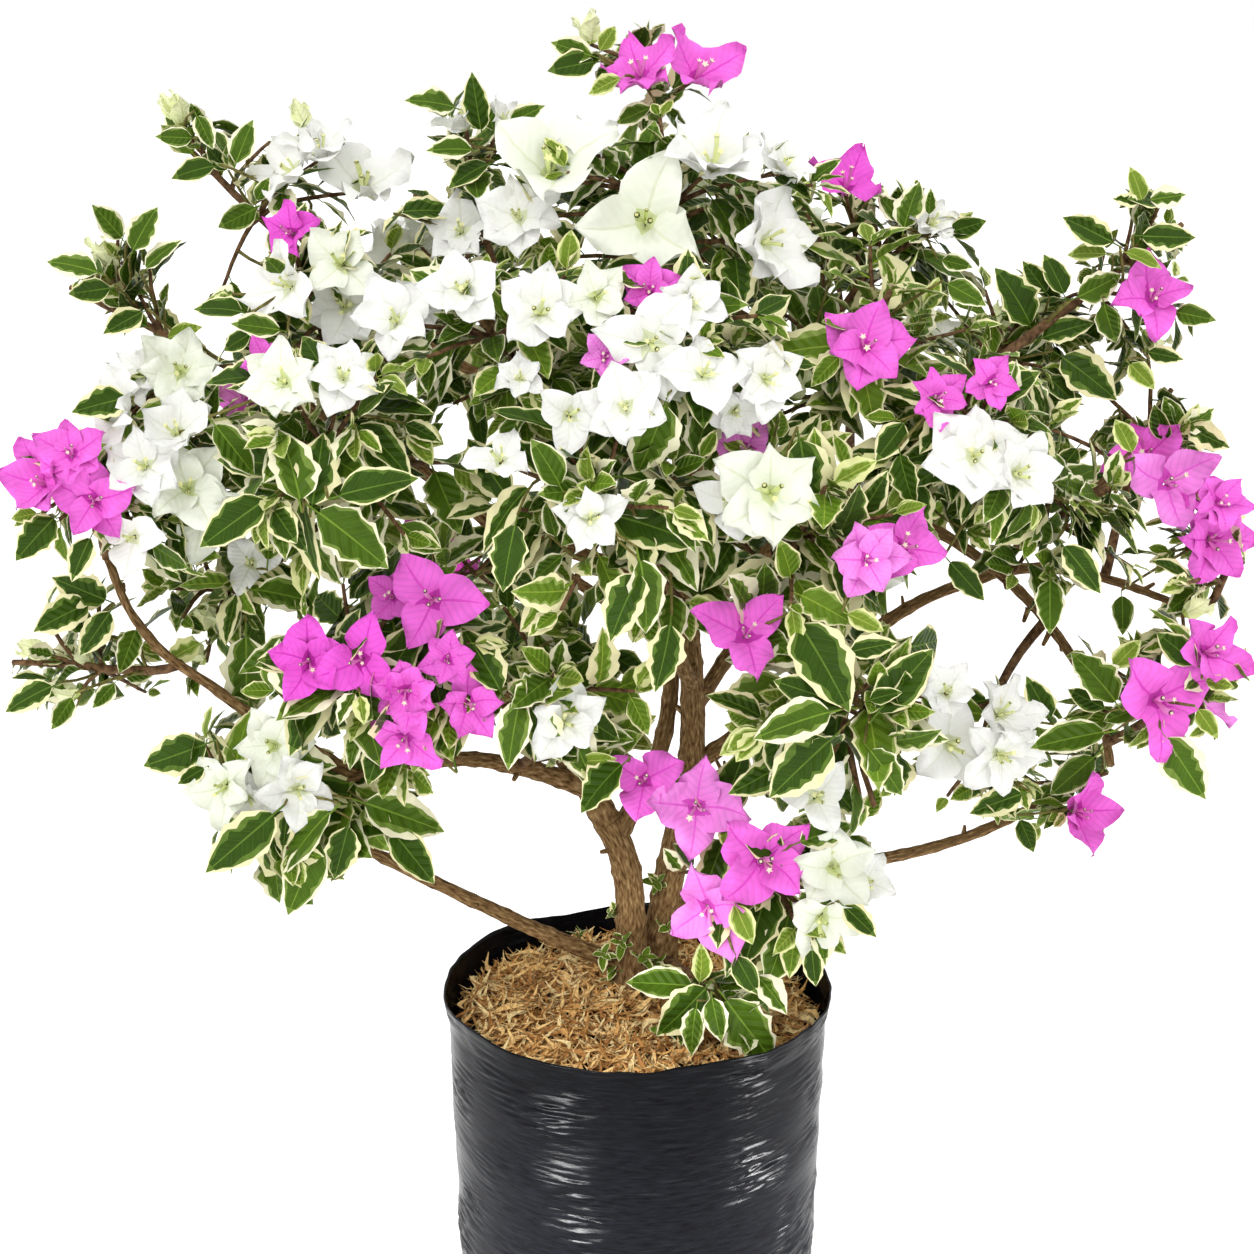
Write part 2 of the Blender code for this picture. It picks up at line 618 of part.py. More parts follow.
def make_bloom(root, axis, turn, collection):
    """A bloom: a cone opening along its axis, its rim drawn out to a point for each bract, and hollowed."""
    mesh = bpy.data.meshes.new("bloom")
    work = bmesh.new()
    sides = 2 * BRACTS
    shape = {"segments": sides, "radius1": 0.0, "radius2": 1.0, "depth": 1.0}
    bmesh.ops.create_cone(work, cap_ends=True, cap_tris=True, **shape)
    for vert in work.verts:
        if vert.co.z < 0:
            vert.co = root
            continue
        if vert.co.to_2d().length < 0.5:
            vert.co = root + axis * BLOOM_FLOOR
            continue
        corner = round(math.atan2(vert.co.y, vert.co.x) / math.tau * sides)
        radius, depth = BLOOM_RADIUS, BLOOM_DEPTH
        if corner % 2:
            radius, depth = BLOOM_NOTCH_RADIUS, BLOOM_NOTCH_DEPTH
        level = spin(axis, math.pi / 2, turn + math.tau * corner / sides)
        vert.co = root + level * radius + axis * depth
    bmesh.ops.recalc_face_normals(work, faces=work.faces)
    work.to_mesh(mesh)
    work.free()
    return add_object("bloom", mesh, collection)


def twig_reach(name, cell):
    """How far out a mass's bare twigs end, as a share of its reach: their last leaves then end at its rim."""
    leaf_length = MASSES[name][4]
    return max(TWIG_LEAST_REACH, 1.0 - LEAF_RUN_PAST_TWIG * leaf_length / cell.mean_reach)


def mass_stem(name, branches, cell):
    """The run of a mass's own stem, from inside the limb that carries it towards the far rim of its space."""
    carrier, share = MASSES[name][:2]
    foot, along, _ = branches[carrier].at(share)
    towards = cell.middle - foot
    outward = ((cell.middle - CROWN_HEART).normalized() + towards.normalized()).normalized()
    leave = along
    if share < 1.0:
        leave = (towards - along * towards.dot(along) * STEM_TURN).normalized()
    end = cell.rim_point(outward, twig_reach(name, cell))
    points = sweep_between(foot, leave, end, outward, STEM_SWEEP, STEM_STATIONS)
    foot_radius, tip_radius = STEM_RADII
    step = (tip_radius - foot_radius) / (STEM_STATIONS - 1)
    return Branch(points, [foot_radius + step * index for index in range(STEM_STATIONS)])


def side_twig(stem, target, innermost):
    """A twig that leaves the stem a little before the point nearest to its target."""
    share = stem.nearest_share(target, innermost, TWIG_OUTERMOST) - TWIG_BACKSET
    start, along, _ = stem.at(max(innermost, share))
    ahead = (target - start).normalized()
    leave = (ahead + along * TWIG_FOLLOW).normalized()
    arrive = (ahead - along * TWIG_TURN_OUT).normalized()
    points = sweep_between(start, leave, target, arrive, TWIG_SWEEP, TWIG_STATIONS)
    foot_radius, tip_radius = TWIG_RADII
    return Branch(points, [foot_radius, (foot_radius + tip_radius) / 2, tip_radius])


def innermost_twig(stem, cell):
    """The share of the stem's run where its first twig may leave, once it is in the space of its mass."""
    for step in range(INNERMOST_STEPS):
        if cell.holds(stem.at(step / INNERMOST_STEPS)[0]):
            return min(step / INNERMOST_STEPS, TWIG_INNERMOST)
    return TWIG_INNERMOST


def fits(piece, cell, obstacles, pieces=()):
    """Whether a new piece lies in the space, and crosses no obstacle and none of some other pieces."""
    if not all(cell.holds(vert.co) for vert in piece.data.vertices):
        return False
    tree = search_tree(piece)
    if any(tree.overlap(obstacle) for obstacle in obstacles):
        return False
    return not any(tree.overlap(search_tree(other)) for other in pieces)


class Mass:
    """One mass while it grows: its space, its stem, what it must keep clear of, and its pieces so far."""

    def __init__(self, name, stem, obstacles, section):
        self.name = name
        self.cell = Cell(name)
        self.stem = stem
        self.obstacles = obstacles
        self.section = section
        self.innermost = innermost_twig(stem, self.cell)
        self.pen = bpy.data.collections.new(name + "_pieces")
        bpy.context.scene.collection.children.link(self.pen)
        self.runs = [(stem, LEAF_PLACES)]
        self.blooms = []

    def grow_blooms(self):
        """A bloom at the end of a twig of its own, in each direction that the table gives."""
        twigs = []
        for index, place in enumerate(BLOOMS.get(self.name, ())):
            facing = direction(*place)
            for share in BLOOM_SHARES:
                end = self.cell.rim_point(facing, share)
                twig = side_twig(self.stem, end, self.innermost)
                axis = (facing + (end - twig.points[-2]).normalized() * BLOOM_FOLLOW).normalized()
                bloom = make_bloom(end - axis * BLOOM_ROOT_DEPTH, axis, index * BLOOM_TURN, self.pen)
                piece = tube("twig", twig, self.pen, self.section)
                grown = self.blooms + twigs
                if all(fits(new, self.cell, self.obstacles, grown) for new in (bloom, piece)):
                    self.blooms.append(bloom)
                    twigs.append(piece)
                    self.runs.append((twig, LEAF_PLACES_UNDER_BLOOM))
                    break
                remove_object(bloom)
                remove_object(piece)
        return twigs

    def grow_twigs(self, bloom_twigs):
        """The bare twigs, spread evenly around the middle: fewer where the blooms brought their own."""
        count = max(0, MASSES[self.name][5] - len(bloom_twigs))
        outward = (self.stem.points[-1] - self.cell.middle).normalized()
        for index in range(count):
            first, last = TWIG_SPREAD
            lean = math.acos(first + (last - first) * (index + 0.5) / count)
            heading = spin(outward, lean, GOLDEN_ANGLE * index + len(self.name))
            target = self.cell.rim_point(heading, twig_reach(self.name, self.cell))
            twig = side_twig(self.stem, target, self.innermost)
            piece = tube("twig", twig, self.pen, self.section)
            if fits(piece, self.cell, self.obstacles, self.blooms + bloom_twigs):
                self.runs.append((twig, LEAF_PLACES))
            else:
                remove_object(piece)

    def grow_leaves(self):
        """The leaves, in a whorl round the outer part of each twig, their faces turned to the light."""
        length, _, count = MASSES[self.name][4:]
        chance = random.Random(self.name)
        tries = count * LEAF_TRIES
        leaves = []
        turn = chance.uniform(0, math.tau)
        for attempt in range(tries):
            branch, places = self.runs[attempt % len(self.runs)]
            share, lean = places[(attempt // len(self.runs)) % len(places)]
            point, along, thick = branch.at(share)
            turn += GOLDEN_ANGLE
            lean += chance.uniform(-LEAF_LEAN_SPREAD, LEAF_LEAN_SPREAD)
            ahead = spin(along, math.radians(lean), turn)
            outward = (point - CROWN_HEART).normalized()
            light = Vector((outward.x, outward.y, abs(outward.z) + LIGHT_FROM_ABOVE))
            light += along * LIGHT_ALONG_TWIG
            size = length * chance.uniform(*LEAF_SIZE_SPREAD) * (1.0 - LEAF_SHRINK * attempt / tries)
            leaf = make_leaf(point - ahead * thick * LEAF_ROOT_DEPTH, ahead, light, size, self.pen)
            if fits(leaf, self.cell, self.obstacles, leaves + self.blooms):
                leaves.append(leaf)
            else:
                remove_object(leaf)
            if len(leaves) == count:
                break

    def joined(self, collection):
        """The stem and all the pieces as one solid. The pieces are then removed."""
        mass = tube("mass_" + self.name, self.stem, collection, self.section)
        apply_boolean(mass, "UNION", operand_type="COLLECTION", collection=self.pen)
        for piece in list(self.pen.objects):
            remove_object(piece)
        bpy.data.collections.remove(self.pen)
        return mass


def clearance_tree(solids, scraps):
    """One tree of the faces of the bag, the mix and every limb, each swollen by a leaf's clearance."""
    work = bmesh.new()
    for solid in solids.values():
        swollen = swollen_copy(solid, LIMB_CLEARANCE, scraps)
        work.from_mesh(swollen.data)
        remove_object(swollen)
    tree = BVHTree.FromBMesh(work)
    work.free()
    return tree


def guard_tree(stem, section, scraps):
    """A tree of the faces of a mass's stem, widened so that other masses keep clear of it."""
    wide = Branch(stem.points, [radius + STEM_CLEARANCE for radius in stem.radii])
    guard = tube("guard", wide, scraps, section)
    tree = search_tree(guard)
    remove_object(guard)
    return tree


def make_masses(branches, solids, collection, scraps, material):
    """Every mass in the table. All their stems are laid first, so that no mass grows into another's stem."""
    section = three_sided_section(scraps)
    limb_tree = clearance_tree(solids, scraps)
    stems = {name: mass_stem(name, branches, Cell(name)) for name in MASSES}
    guards = {name: guard_tree(stem, section, scraps) for name, stem in stems.items()}
    for name, row in MASSES.items():
        obstacles = [limb_tree] + [guard for other, guard in guards.items() if other != name]
        mass = Mass(name, stems[name], obstacles, section)
        bloom_twigs = mass.grow_blooms()
        mass.grow_twigs(bloom_twigs)
        mass.grow_leaves()
        solid = mass.joined(collection)
        seat_on(solid, solids[row[0]], scraps)
        dress(solid, material)
        solids[solid.name] = solid
    remove_object(section)


def main():
    """Clear the scene and build the bush."""
    noise.seed_set(NOISE_SEED)
    for thing in list(bpy.data.objects):
        remove_object(thing)
    bush = bpy.data.collections.new("bougainvillea_bush")
    scraps = bpy.data.collections.new("cutters")
    for collection in (bush, scraps):
        bpy.context.scene.collection.children.link(collection)
    materials = {name: make_material(name) for name in MATERIALS}
    solids = {
        "bag": make_bag(bush, materials["film"]),
        "potting_mix": make_mix(bush, materials["mix"]),
    }
    branches = make_limbs(solids, bush, scraps, materials["bark"])
    make_masses(branches, solids, bush, scraps, materials["foliage"])


main()
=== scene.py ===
"""The looks of a potted bougainvillea bush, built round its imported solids.

The trunk and boughs get a mesh with the bark's relief, and each mass of the solids is grown again by the
rule of their source, and carried on to finer twigs with variegated leaves, white and magenta blooms and buds.
Metres, +Z up. The origin is the middle of the bag's flat underside, and -Y is the bush's front.
A (heading, rise) pair is a direction: an angle about +Z from +X, and an angle above the level, in degrees."""

import math
import random

import bpy
import numpy as np
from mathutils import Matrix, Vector, noise


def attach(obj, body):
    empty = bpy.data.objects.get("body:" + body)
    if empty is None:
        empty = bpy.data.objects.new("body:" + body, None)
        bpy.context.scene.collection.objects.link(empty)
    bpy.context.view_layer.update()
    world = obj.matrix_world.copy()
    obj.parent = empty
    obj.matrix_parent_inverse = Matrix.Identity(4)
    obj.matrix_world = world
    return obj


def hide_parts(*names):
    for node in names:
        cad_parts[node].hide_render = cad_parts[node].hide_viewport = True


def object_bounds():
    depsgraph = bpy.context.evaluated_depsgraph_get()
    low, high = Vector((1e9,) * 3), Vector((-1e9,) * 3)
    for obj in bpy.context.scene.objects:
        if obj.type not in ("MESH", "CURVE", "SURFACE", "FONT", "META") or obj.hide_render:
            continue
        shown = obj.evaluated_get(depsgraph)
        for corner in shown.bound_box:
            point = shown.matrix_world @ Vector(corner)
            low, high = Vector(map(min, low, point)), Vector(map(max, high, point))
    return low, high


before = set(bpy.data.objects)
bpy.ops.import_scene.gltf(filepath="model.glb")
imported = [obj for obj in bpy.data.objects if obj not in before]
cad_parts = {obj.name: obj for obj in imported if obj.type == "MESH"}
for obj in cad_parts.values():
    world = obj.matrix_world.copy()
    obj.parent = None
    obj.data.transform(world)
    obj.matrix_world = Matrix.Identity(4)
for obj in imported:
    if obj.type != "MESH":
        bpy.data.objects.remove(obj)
CAD_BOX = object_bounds()

# ---------------------------------------------------------------------------------------------------------
# Sizes and places
# ---------------------------------------------------------------------------------------------------------

# The camera: where it stood, how far down it looks, and its focal length in pixels of the square picture
PICTURE_SIZE = 1254
FOCAL_PIXELS = 2000
SENSOR_WIDTH = 36.0
CAMERA_PLACE = Vector((-0.0076, -1.4489, 1.0074))
CAMERA_DIP = math.radians(15.0)
CAMERA_AHEAD = Vector((0, math.cos(CAMERA_DIP), -math.sin(CAMERA_DIP)))
CAMERA_UP = Vector((0, math.sin(CAMERA_DIP), math.cos(CAMERA_DIP)))

# The bag and its mix, as in the solids
BAG_HEIGHT = 0.330
BAG_RIM_RADIUS = 0.1515
BAG_WALL_RADIUS = 0.1475
BAG_FOOT_RADIUS = 0.1400
BAG_FLARE_HEIGHT = 0.022
BAG_CORNER = 0.010
BAG_FILM = 0.0020
RIM_BAND = 0.10
WALL_WAVE = 0.001
RIM_WAVE = 0.0015
WALL_WAVES = ((3, 0.6, 2.0, 1.0), (7, 0.0, -3.0, 0.7))
RIM_WAVES = ((5, 1.0, 0.0, 1.0), (9, 0.0, 0.0, 0.6))
MIX_TOP = 0.302

# Limbs: the limb that carries it and the share of that limb's length where it leaves (a stem stands in the
# mix), its tip, its direction where it leaves and at its tip, its radius at foot and tip, and its sweep.
LIMBS = {
    "left_stem": ("potting_mix", (-0.001, 0.026), (-0.023, 0.018, 0.458),
        (176, 82), (176, 62), 0.0125, 0.0105, 1.0),
    "right_stem": ("potting_mix", (0.016, 0.056), (0.013, 0.024, 0.694),
        (30, 87), (170, 66), 0.0130, 0.0072, 1.2),
    "left_rising_bough": ("left_stem", 1.0, (-0.24, 0.04, 0.628), (176, 60), (176, 14), 0.0098, 0.0056, 0.9),
    "left_low_limb": ("left_stem", 0.2, (-0.225, -0.05, 0.475), (192, 24), (190, 34), 0.0074, 0.0048, 0.8),
    "right_low_limb": ("right_stem", 0.16, (0.309, 0.03, 0.464), (350, 28), (0, 34), 0.0066, 0.0046, 0.9),
    "left_bough": ("left_rising_bough", 0.12, (-0.208, -0.1, 0.534),
        (200, 26), (200, -10), 0.0076, 0.0052, 1.1),
    "inner_bough": ("left_stem", 0.9, (0.01, 0.175, 0.735), (10, 55), (88, 50), 0.0078, 0.0048, 1.3),
    "right_arch_inner": ("right_stem", 0.48, (0.248, 0.0, 0.655),
        (352, 34), (350, 20), 0.0070, 0.0052, 0.9),
    "right_arch_outer": ("right_arch_inner", 1.0, (0.396, -0.06, 0.648),
        (350, 14), (335, -18), 0.0047, 0.0032, 1.0),
    "right_upper_bough": ("right_stem", 0.8, (0.258, 0.0, 0.817), (335, 46), (20, 30), 0.0066, 0.0046, 1.0),
    "right_drop_limb": ("right_upper_bough", 0.52, (0.342, -0.08, 0.537),
        (4, -14), (310, -82), 0.0046, 0.0038, 1.0),
    "mid_left_bough": ("right_stem", 0.9, (-0.24, -0.02, 0.79), (196, 8), (184, 26), 0.0064, 0.0046, 1.0),
    "leader_left": ("right_stem", 1.0, (-0.07, -0.02, 0.825), (178, 66), (200, 58), 0.0066, 0.0052, 1.0),
    "leader_right": ("right_stem", 0.955, (0.022, 0.02, 0.935), (30, 44), (200, 80), 0.0060, 0.0044, 1.0),
    "high_left_bough": ("leader_left", 0.55, (-0.22, 0.03, 0.872), (176, 24), (176, 40), 0.005, 0.004, 1.0),
    "far_left_limb": ("left_bough", 0.97, (-0.372, -0.08, 0.69), (174, 34), (160, 78), 0.0048, 0.0036, 1.05),
    "front_bough": ("right_stem", 0.68, (0.0, -0.12, 0.77), (262, 20), (268, 56), 0.0062, 0.0044, 1.0),
    "front_right_bough": ("right_stem", 0.42, (0.095, -0.11, 0.585),
        (300, 24), (290, 42), 0.006, 0.0044, 1.0),
    "back_left_bough": ("inner_bough", 0.5, (-0.17, 0.17, 0.7), (165, 24), (160, 34), 0.0055, 0.0045, 1.0),
    "back_right_bough": ("right_stem", 0.62, (0.18, 0.15, 0.72), (44, 36), (30, 34), 0.0066, 0.0046, 1.0),
}
STEM_SET = 0.004
STEM_FLARE = 0.0045
STEM_FLARE_LENGTH = 0.025
LIMB_STATIONS = 7
LIMB_KINK = 0.0030
KINK_LENGTH = 0.055
KINK_SEED = (1.7, 0.31, 0.53)
# The seed of the vector noise, which would otherwise start from the clock: the same as in the solids' source
NOISE_SEED = 1795475751

# Masses: the limb that carries it, the share of that limb's length where its stem leaves, its middle, how far
# it reaches from there along X, Y and Z, its longest leaves, and its counts of twigs to the rim and fine twigs
BACK_LEAF = 0.066
FULL = (7, 12)
MASSES = {
    "top": ("leader_right", 1.0, (0.012, 0.02, 0.997), (0.086, 0.066, 0.066), 0.032, (0, 3)),
    "top_centre": ("leader_right", 0.62, (0.024, -0.055, 0.918), (0.14, 0.078, 0.084), 0.042, FULL),
    "upper_left": ("leader_left", 1.0, (-0.115, 0.04, 0.927), (0.096, 0.078, 0.1), 0.04, (4, 9)),
    "high_left": ("high_left_bough", 1.0, (-0.283, 0.06, 0.924), (0.102, 0.074, 0.094), 0.038, (2, 6)),
    "left_tip": ("mid_left_bough", 1.0, (-0.376, 0.02, 0.85), (0.086, 0.072, 0.084), 0.038, (2, 6)),
    "left_shoulder": ("mid_left_bough", 0.88, (-0.216, -0.08, 0.857), (0.084, 0.079, 0.079), 0.042, FULL),
    "left_centre": ("mid_left_bough", 0.7, (-0.192, -0.18, 0.779), (0.096, 0.082, 0.088), 0.052, FULL),
    "centre_left_upper": ("leader_left", 0.75, (-0.09, -0.14, 0.845), (0.088, 0.076, 0.086), 0.042, FULL),
    "centre_upper": ("front_bough", 1.0, (0.02, -0.16, 0.84), (0.089, 0.079, 0.084), 0.042, FULL),
    "centre": ("front_bough", 0.72, (-0.02, -0.2, 0.748), (0.104, 0.08, 0.09), 0.052, FULL),
    "centre_low": ("left_bough", 0.3, (-0.053, -0.16, 0.625), (0.074, 0.072, 0.074), 0.052, FULL),
    "centre_right": ("front_right_bough", 0.8, (0.102, -0.18, 0.728), (0.086, 0.08, 0.086), 0.05, FULL),
    "left_magenta": ("left_bough", 0.8, (-0.178, -0.18, 0.64), (0.094, 0.08, 0.086), 0.055, FULL),
    "left_low_mid": ("left_rising_bough", 1.0, (-0.299, -0.005, 0.647), (0.082, 0.074, 0.078), 0.048, FULL),
    "left_outer": ("far_left_limb", 1.0, (-0.341, -0.08, 0.754), (0.094, 0.079, 0.082), 0.044, FULL),
    "left_low_outer": ("far_left_limb", 0.6, (-0.404, -0.045, 0.606), (0.082, 0.066, 0.074), 0.04, (2, 6)),
    "lower_left": ("left_low_limb", 1.0, (-0.25, -0.1, 0.512), (0.105, 0.07, 0.09), 0.058, (5, 9)),
    "upper_right": ("leader_right", 0.3, (0.179, 0.06, 0.899), (0.089, 0.077, 0.079), 0.044, FULL),
    "far_upper_right": ("right_upper_bough", 1.0, (0.364, 0.06, 0.879), (0.082, 0.072, 0.094), 0.038, (2, 6)),
    "right_high": ("right_upper_bough", 0.86, (0.284, 0.08, 0.825), (0.082, 0.077, 0.077), 0.044, FULL),
    "right_shoulder": ("right_upper_bough", 0.58, (0.15, -0.1, 0.836), (0.09, 0.078, 0.086), 0.048, FULL),
    "right_mid": ("right_upper_bough", 0.74, (0.212, -0.14, 0.785), (0.079, 0.074, 0.077), 0.048, FULL),
    "right_outer_upper": ("right_arch_outer", 0.62, (0.365, 0.03, 0.758),
        (0.084, 0.072, 0.08), 0.042, (5, 9)),
    "right_outer": ("right_arch_outer", 1.0, (0.4, -0.07, 0.692), (0.07, 0.065, 0.067), 0.04, (4, 9)),
    "right_low_mid": ("right_arch_outer", 0.15, (0.286, -0.11, 0.73), (0.074, 0.07, 0.07), 0.046, FULL),
    "right_drop": ("right_drop_limb", 0.94, (0.366, -0.12, 0.606), (0.072, 0.065, 0.067), 0.046, (3, 6)),
    "right_inner_white": ("right_drop_limb", 0.6, (0.232, -0.1, 0.567), (0.07, 0.065, 0.067), 0.048, (3, 5)),
    "right_low_tip": ("right_low_limb", 1.0, (0.322, 0.01, 0.495), (0.074, 0.067, 0.067), 0.042, (2, 6)),
    "right_front": ("front_right_bough", 1.0, (0.131, -0.2, 0.623), (0.089, 0.084, 0.084), 0.06, FULL),
    "front_spray": ("front_right_bough", 0.45, (0.09, -0.16, 0.49), (0.091, 0.079, 0.089), 0.05, (4, 7)),
    "base_shoot": ("right_stem", 0.07, (0.062, -0.045, 0.339), (0.069, 0.068, 0.035), 0.048, (1, 0)),
    "back_top": ("leader_right", 0.5, (0.07, 0.14, 0.872), (0.105, 0.09, 0.084), BACK_LEAF, FULL),
    "back_top_left": ("leader_left", 0.9, (-0.13, 0.15, 0.846), (0.105, 0.09, 0.079), BACK_LEAF, FULL),
    "back_left": ("back_left_bough", 1.0, (-0.25, 0.19, 0.735), (0.11, 0.099, 0.105), BACK_LEAF, FULL),
    "back_low_left": ("back_left_bough", 0.6, (-0.15, 0.215, 0.605), (0.097, 0.095, 0.081), BACK_LEAF, FULL),
    "back_centre": ("inner_bough", 1.0, (0.01, 0.25, 0.765), (0.11, 0.099, 0.105), BACK_LEAF, FULL),
    "back_right": ("back_right_bough", 1.0, (0.265, 0.185, 0.745), (0.11, 0.099, 0.105), BACK_LEAF, FULL),
    "back_low_right": ("back_right_bough", 0.6, (0.14, 0.225, 0.628), (0.097, 0.095, 0.081), BACK_LEAF, FULL),
}
MASS_NODES = tuple("mass_" + name for name in MASSES)
CROWN_HEART = Vector((0.0, 0.02, 0.62))
CELL_GAP = 0.0008
GOLDEN_ANGLE = math.radians(137.5)

# Twigs: radius at foot and tip of a mass's stem, of the twigs that leave it, and of the fine twigs on those
STEM_RADII = (0.0040, 0.0022)
TWIG_RADII = (0.0021, 0.0013)
FINE_RADII = (0.0014, 0.0009)
STEM_STATIONS = 10
TWIG_STATIONS = 7
FINE_STATIONS = 5
STEM_SWEEP = 0.9
STEM_TURN = 0.6
TWIG_SWEEP = 0.8
TWIG_FOLLOW = 0.6
TWIG_TURN_OUT = 0.13
TWIG_BACKSET = 0.16
TWIG_OUTERMOST = 0.92
TWIG_INNERMOST = 0.5
TWIG_KINK = 0.0016
TWIG_KINK_LENGTH = 0.02
RIM_SHARE = 0.84
FINE_SHARES = (0.35, 0.80)
SHARE_STEPS = 12

# Leaves
LEAF_SPACING = 0.0030
LEAF_SPACING_BY_LENGTH = 0.145
LEAF_SIZE_SPREAD = (0.62, 1.12)
LEAF_FIRST_SHARE = 0.28
LEAF_LEAN = (78, 42)
LEAF_LEAN_SPREAD = 16
LEAF_SAG = 3.4
LEAF_TRIES = 3
LEAF_SWELL = 1.10
LEAF_HALF_WIDTH = 0.29
LEAF_RIB = 0.013
LEAF_FOLD = 0.30
SMALL_LEAF = 0.034
LEAF_CUTS = {"large": (12, 12), "small": (7, 10)}
VEIN_PAIRS = 6.5
VEIN_SLANT = 0.9
PETIOLE = 0.16
TIP_LEAVES = 3
TIP_LEAF_SIZE = 0.55
LIGHT_FROM_ABOVE = 0.4
LIGHT_ALONG_TWIG = 0.3
LIGHT_SPREAD = 0.55
TWIG_PAST_LEAF = 0.06
# Where along it a leaf is tested, how far it stays above the mix, and how far it may pass the solids' box
LEAF_SPOTS = (0.4, 0.8, 1.12)
LEAF_ABOVE_MIX = 0.016
LEAF_PAST_BOX = 0.008
LEAF_STEP_TURN = 2.1
LEAF_STEP_SHRINK = 0.14

# How the colours lie across a leaf: how many leaves in ten have it so, the share of the half width that the
# green and its paler band fill, how far that wanders from row to row, how deep its lobes are, and how wide the
# band is
LEAF_PATTERNS = ((3, 0.91, 0.02, 0.08, 0.16), (4, 0.77, 0.07, 0.15, 0.24), (3, 0.52, 0.14, 0.20, 0.28))

# Blooms: how wide a bract is, and the angles from the bloom's axis that it starts and ends at
BRACT_HALF_WIDTH = 0.42
BRACT_POINT = 0.3
# Painted light on the pale bracts: a faint glow of their own colour that lifts their shaded sides
BRACT_PAINTED_GLOW = 0.09
BRACT_ROWS = 9
BRACT_COLUMNS = (-1.0, -0.68, -0.34, -0.05, 0.05, 0.34, 0.68, 1.0)
BRACT_OPENINGS = ((32, 82), (26, 98), (40, 70), (20, 66))
BUD_OPENINGS = ((6, 16), (8, 26))
BRACT_BEND_POWER = 0.7
BRACT_VARIANTS = 4
BRACT_TILT = 0.22
BLOOM_SPANS = (0.054, 0.070)
BUD_LENGTH = 0.023
BUD_HALF_WIDTH = 0.30
BRACT_COUNTS = (3, 4, 5, 5, 6, 6)
# How wide a bloom of three bracts, or of more, spreads for each length that its bracts reach
SPREADS = (1.74, 2.00)
# How far its bracts stand out before it, for each length of its bracts, and how far they may come out of the
# box of the solids
BLOOM_FORE = 0.62
BOX_ALLOWANCE = 0.022
SIDE_ON = 0.4
BLOOM_COVER = 0.78
FLOWER_LENGTH = 0.52
OPEN_FLOWERS = 0.45
STAR_RADII = (0.060, 0.118)
FLOWERS = 3

# Blooms in the picture, by pixel of its square of 1254: the middle, how wide it spreads, and how far it turns
# to the right and up
MAGENTA_BLOOMS = (
    (640, 68, 82, -0.25, 0.55), (700, 70, 84, 0.3, 0.5), (289, 232, 60, -0.3, 0.1), (848, 180, 76, 0.1, 0.6),
    (866, 345, 98, 0.1, 0.2), (938, 398, 64, 0.0, 0.1), (992, 382, 56, 0.2, 0.0), (1154, 296, 86, 0.05, 0.15),
    (1147, 455, 78, -0.1, 0.1), (1172, 482, 84, 0.1, -0.1), (1200, 490, 68, 0.3, 0.2),
    (1222, 503, 64, 0.3, 0.2), (1215, 540, 100, 0.3, -0.1), (1213, 652, 92, 0.3, 0.0),
    (1163, 702, 108, 0.2, 0.0), (1083, 812, 76, 0.5, -0.1), (868, 560, 80, 0.1, -0.1),
    (905, 545, 86, 0.1, 0.1), (747, 632, 86, 0.0, 0.2), (642, 780, 72, -0.3, 0.2), (697, 808, 106, -0.1, 0.1),
    (765, 860, 112, 0.0, 0.0), (708, 912, 100, 0.0, -0.2), (70, 452, 76, 0.0, 0.3), (40, 482, 76, -0.5, 0.1),
    (94, 500, 88, 0.1, 0.0), (308, 662, 86, 0.0, 0.0), (360, 660, 82, 0.0, 0.0), (432, 600, 94, 0.1, 0.1),
    (392, 596, 62, -0.3, 0.0), (405, 692, 76, 0.0, -0.3), (404, 740, 80, 0.0, -0.3),
    (470, 705, 72, 0.4, -0.2), (447, 660, 60, 0.0, 0.0),
)
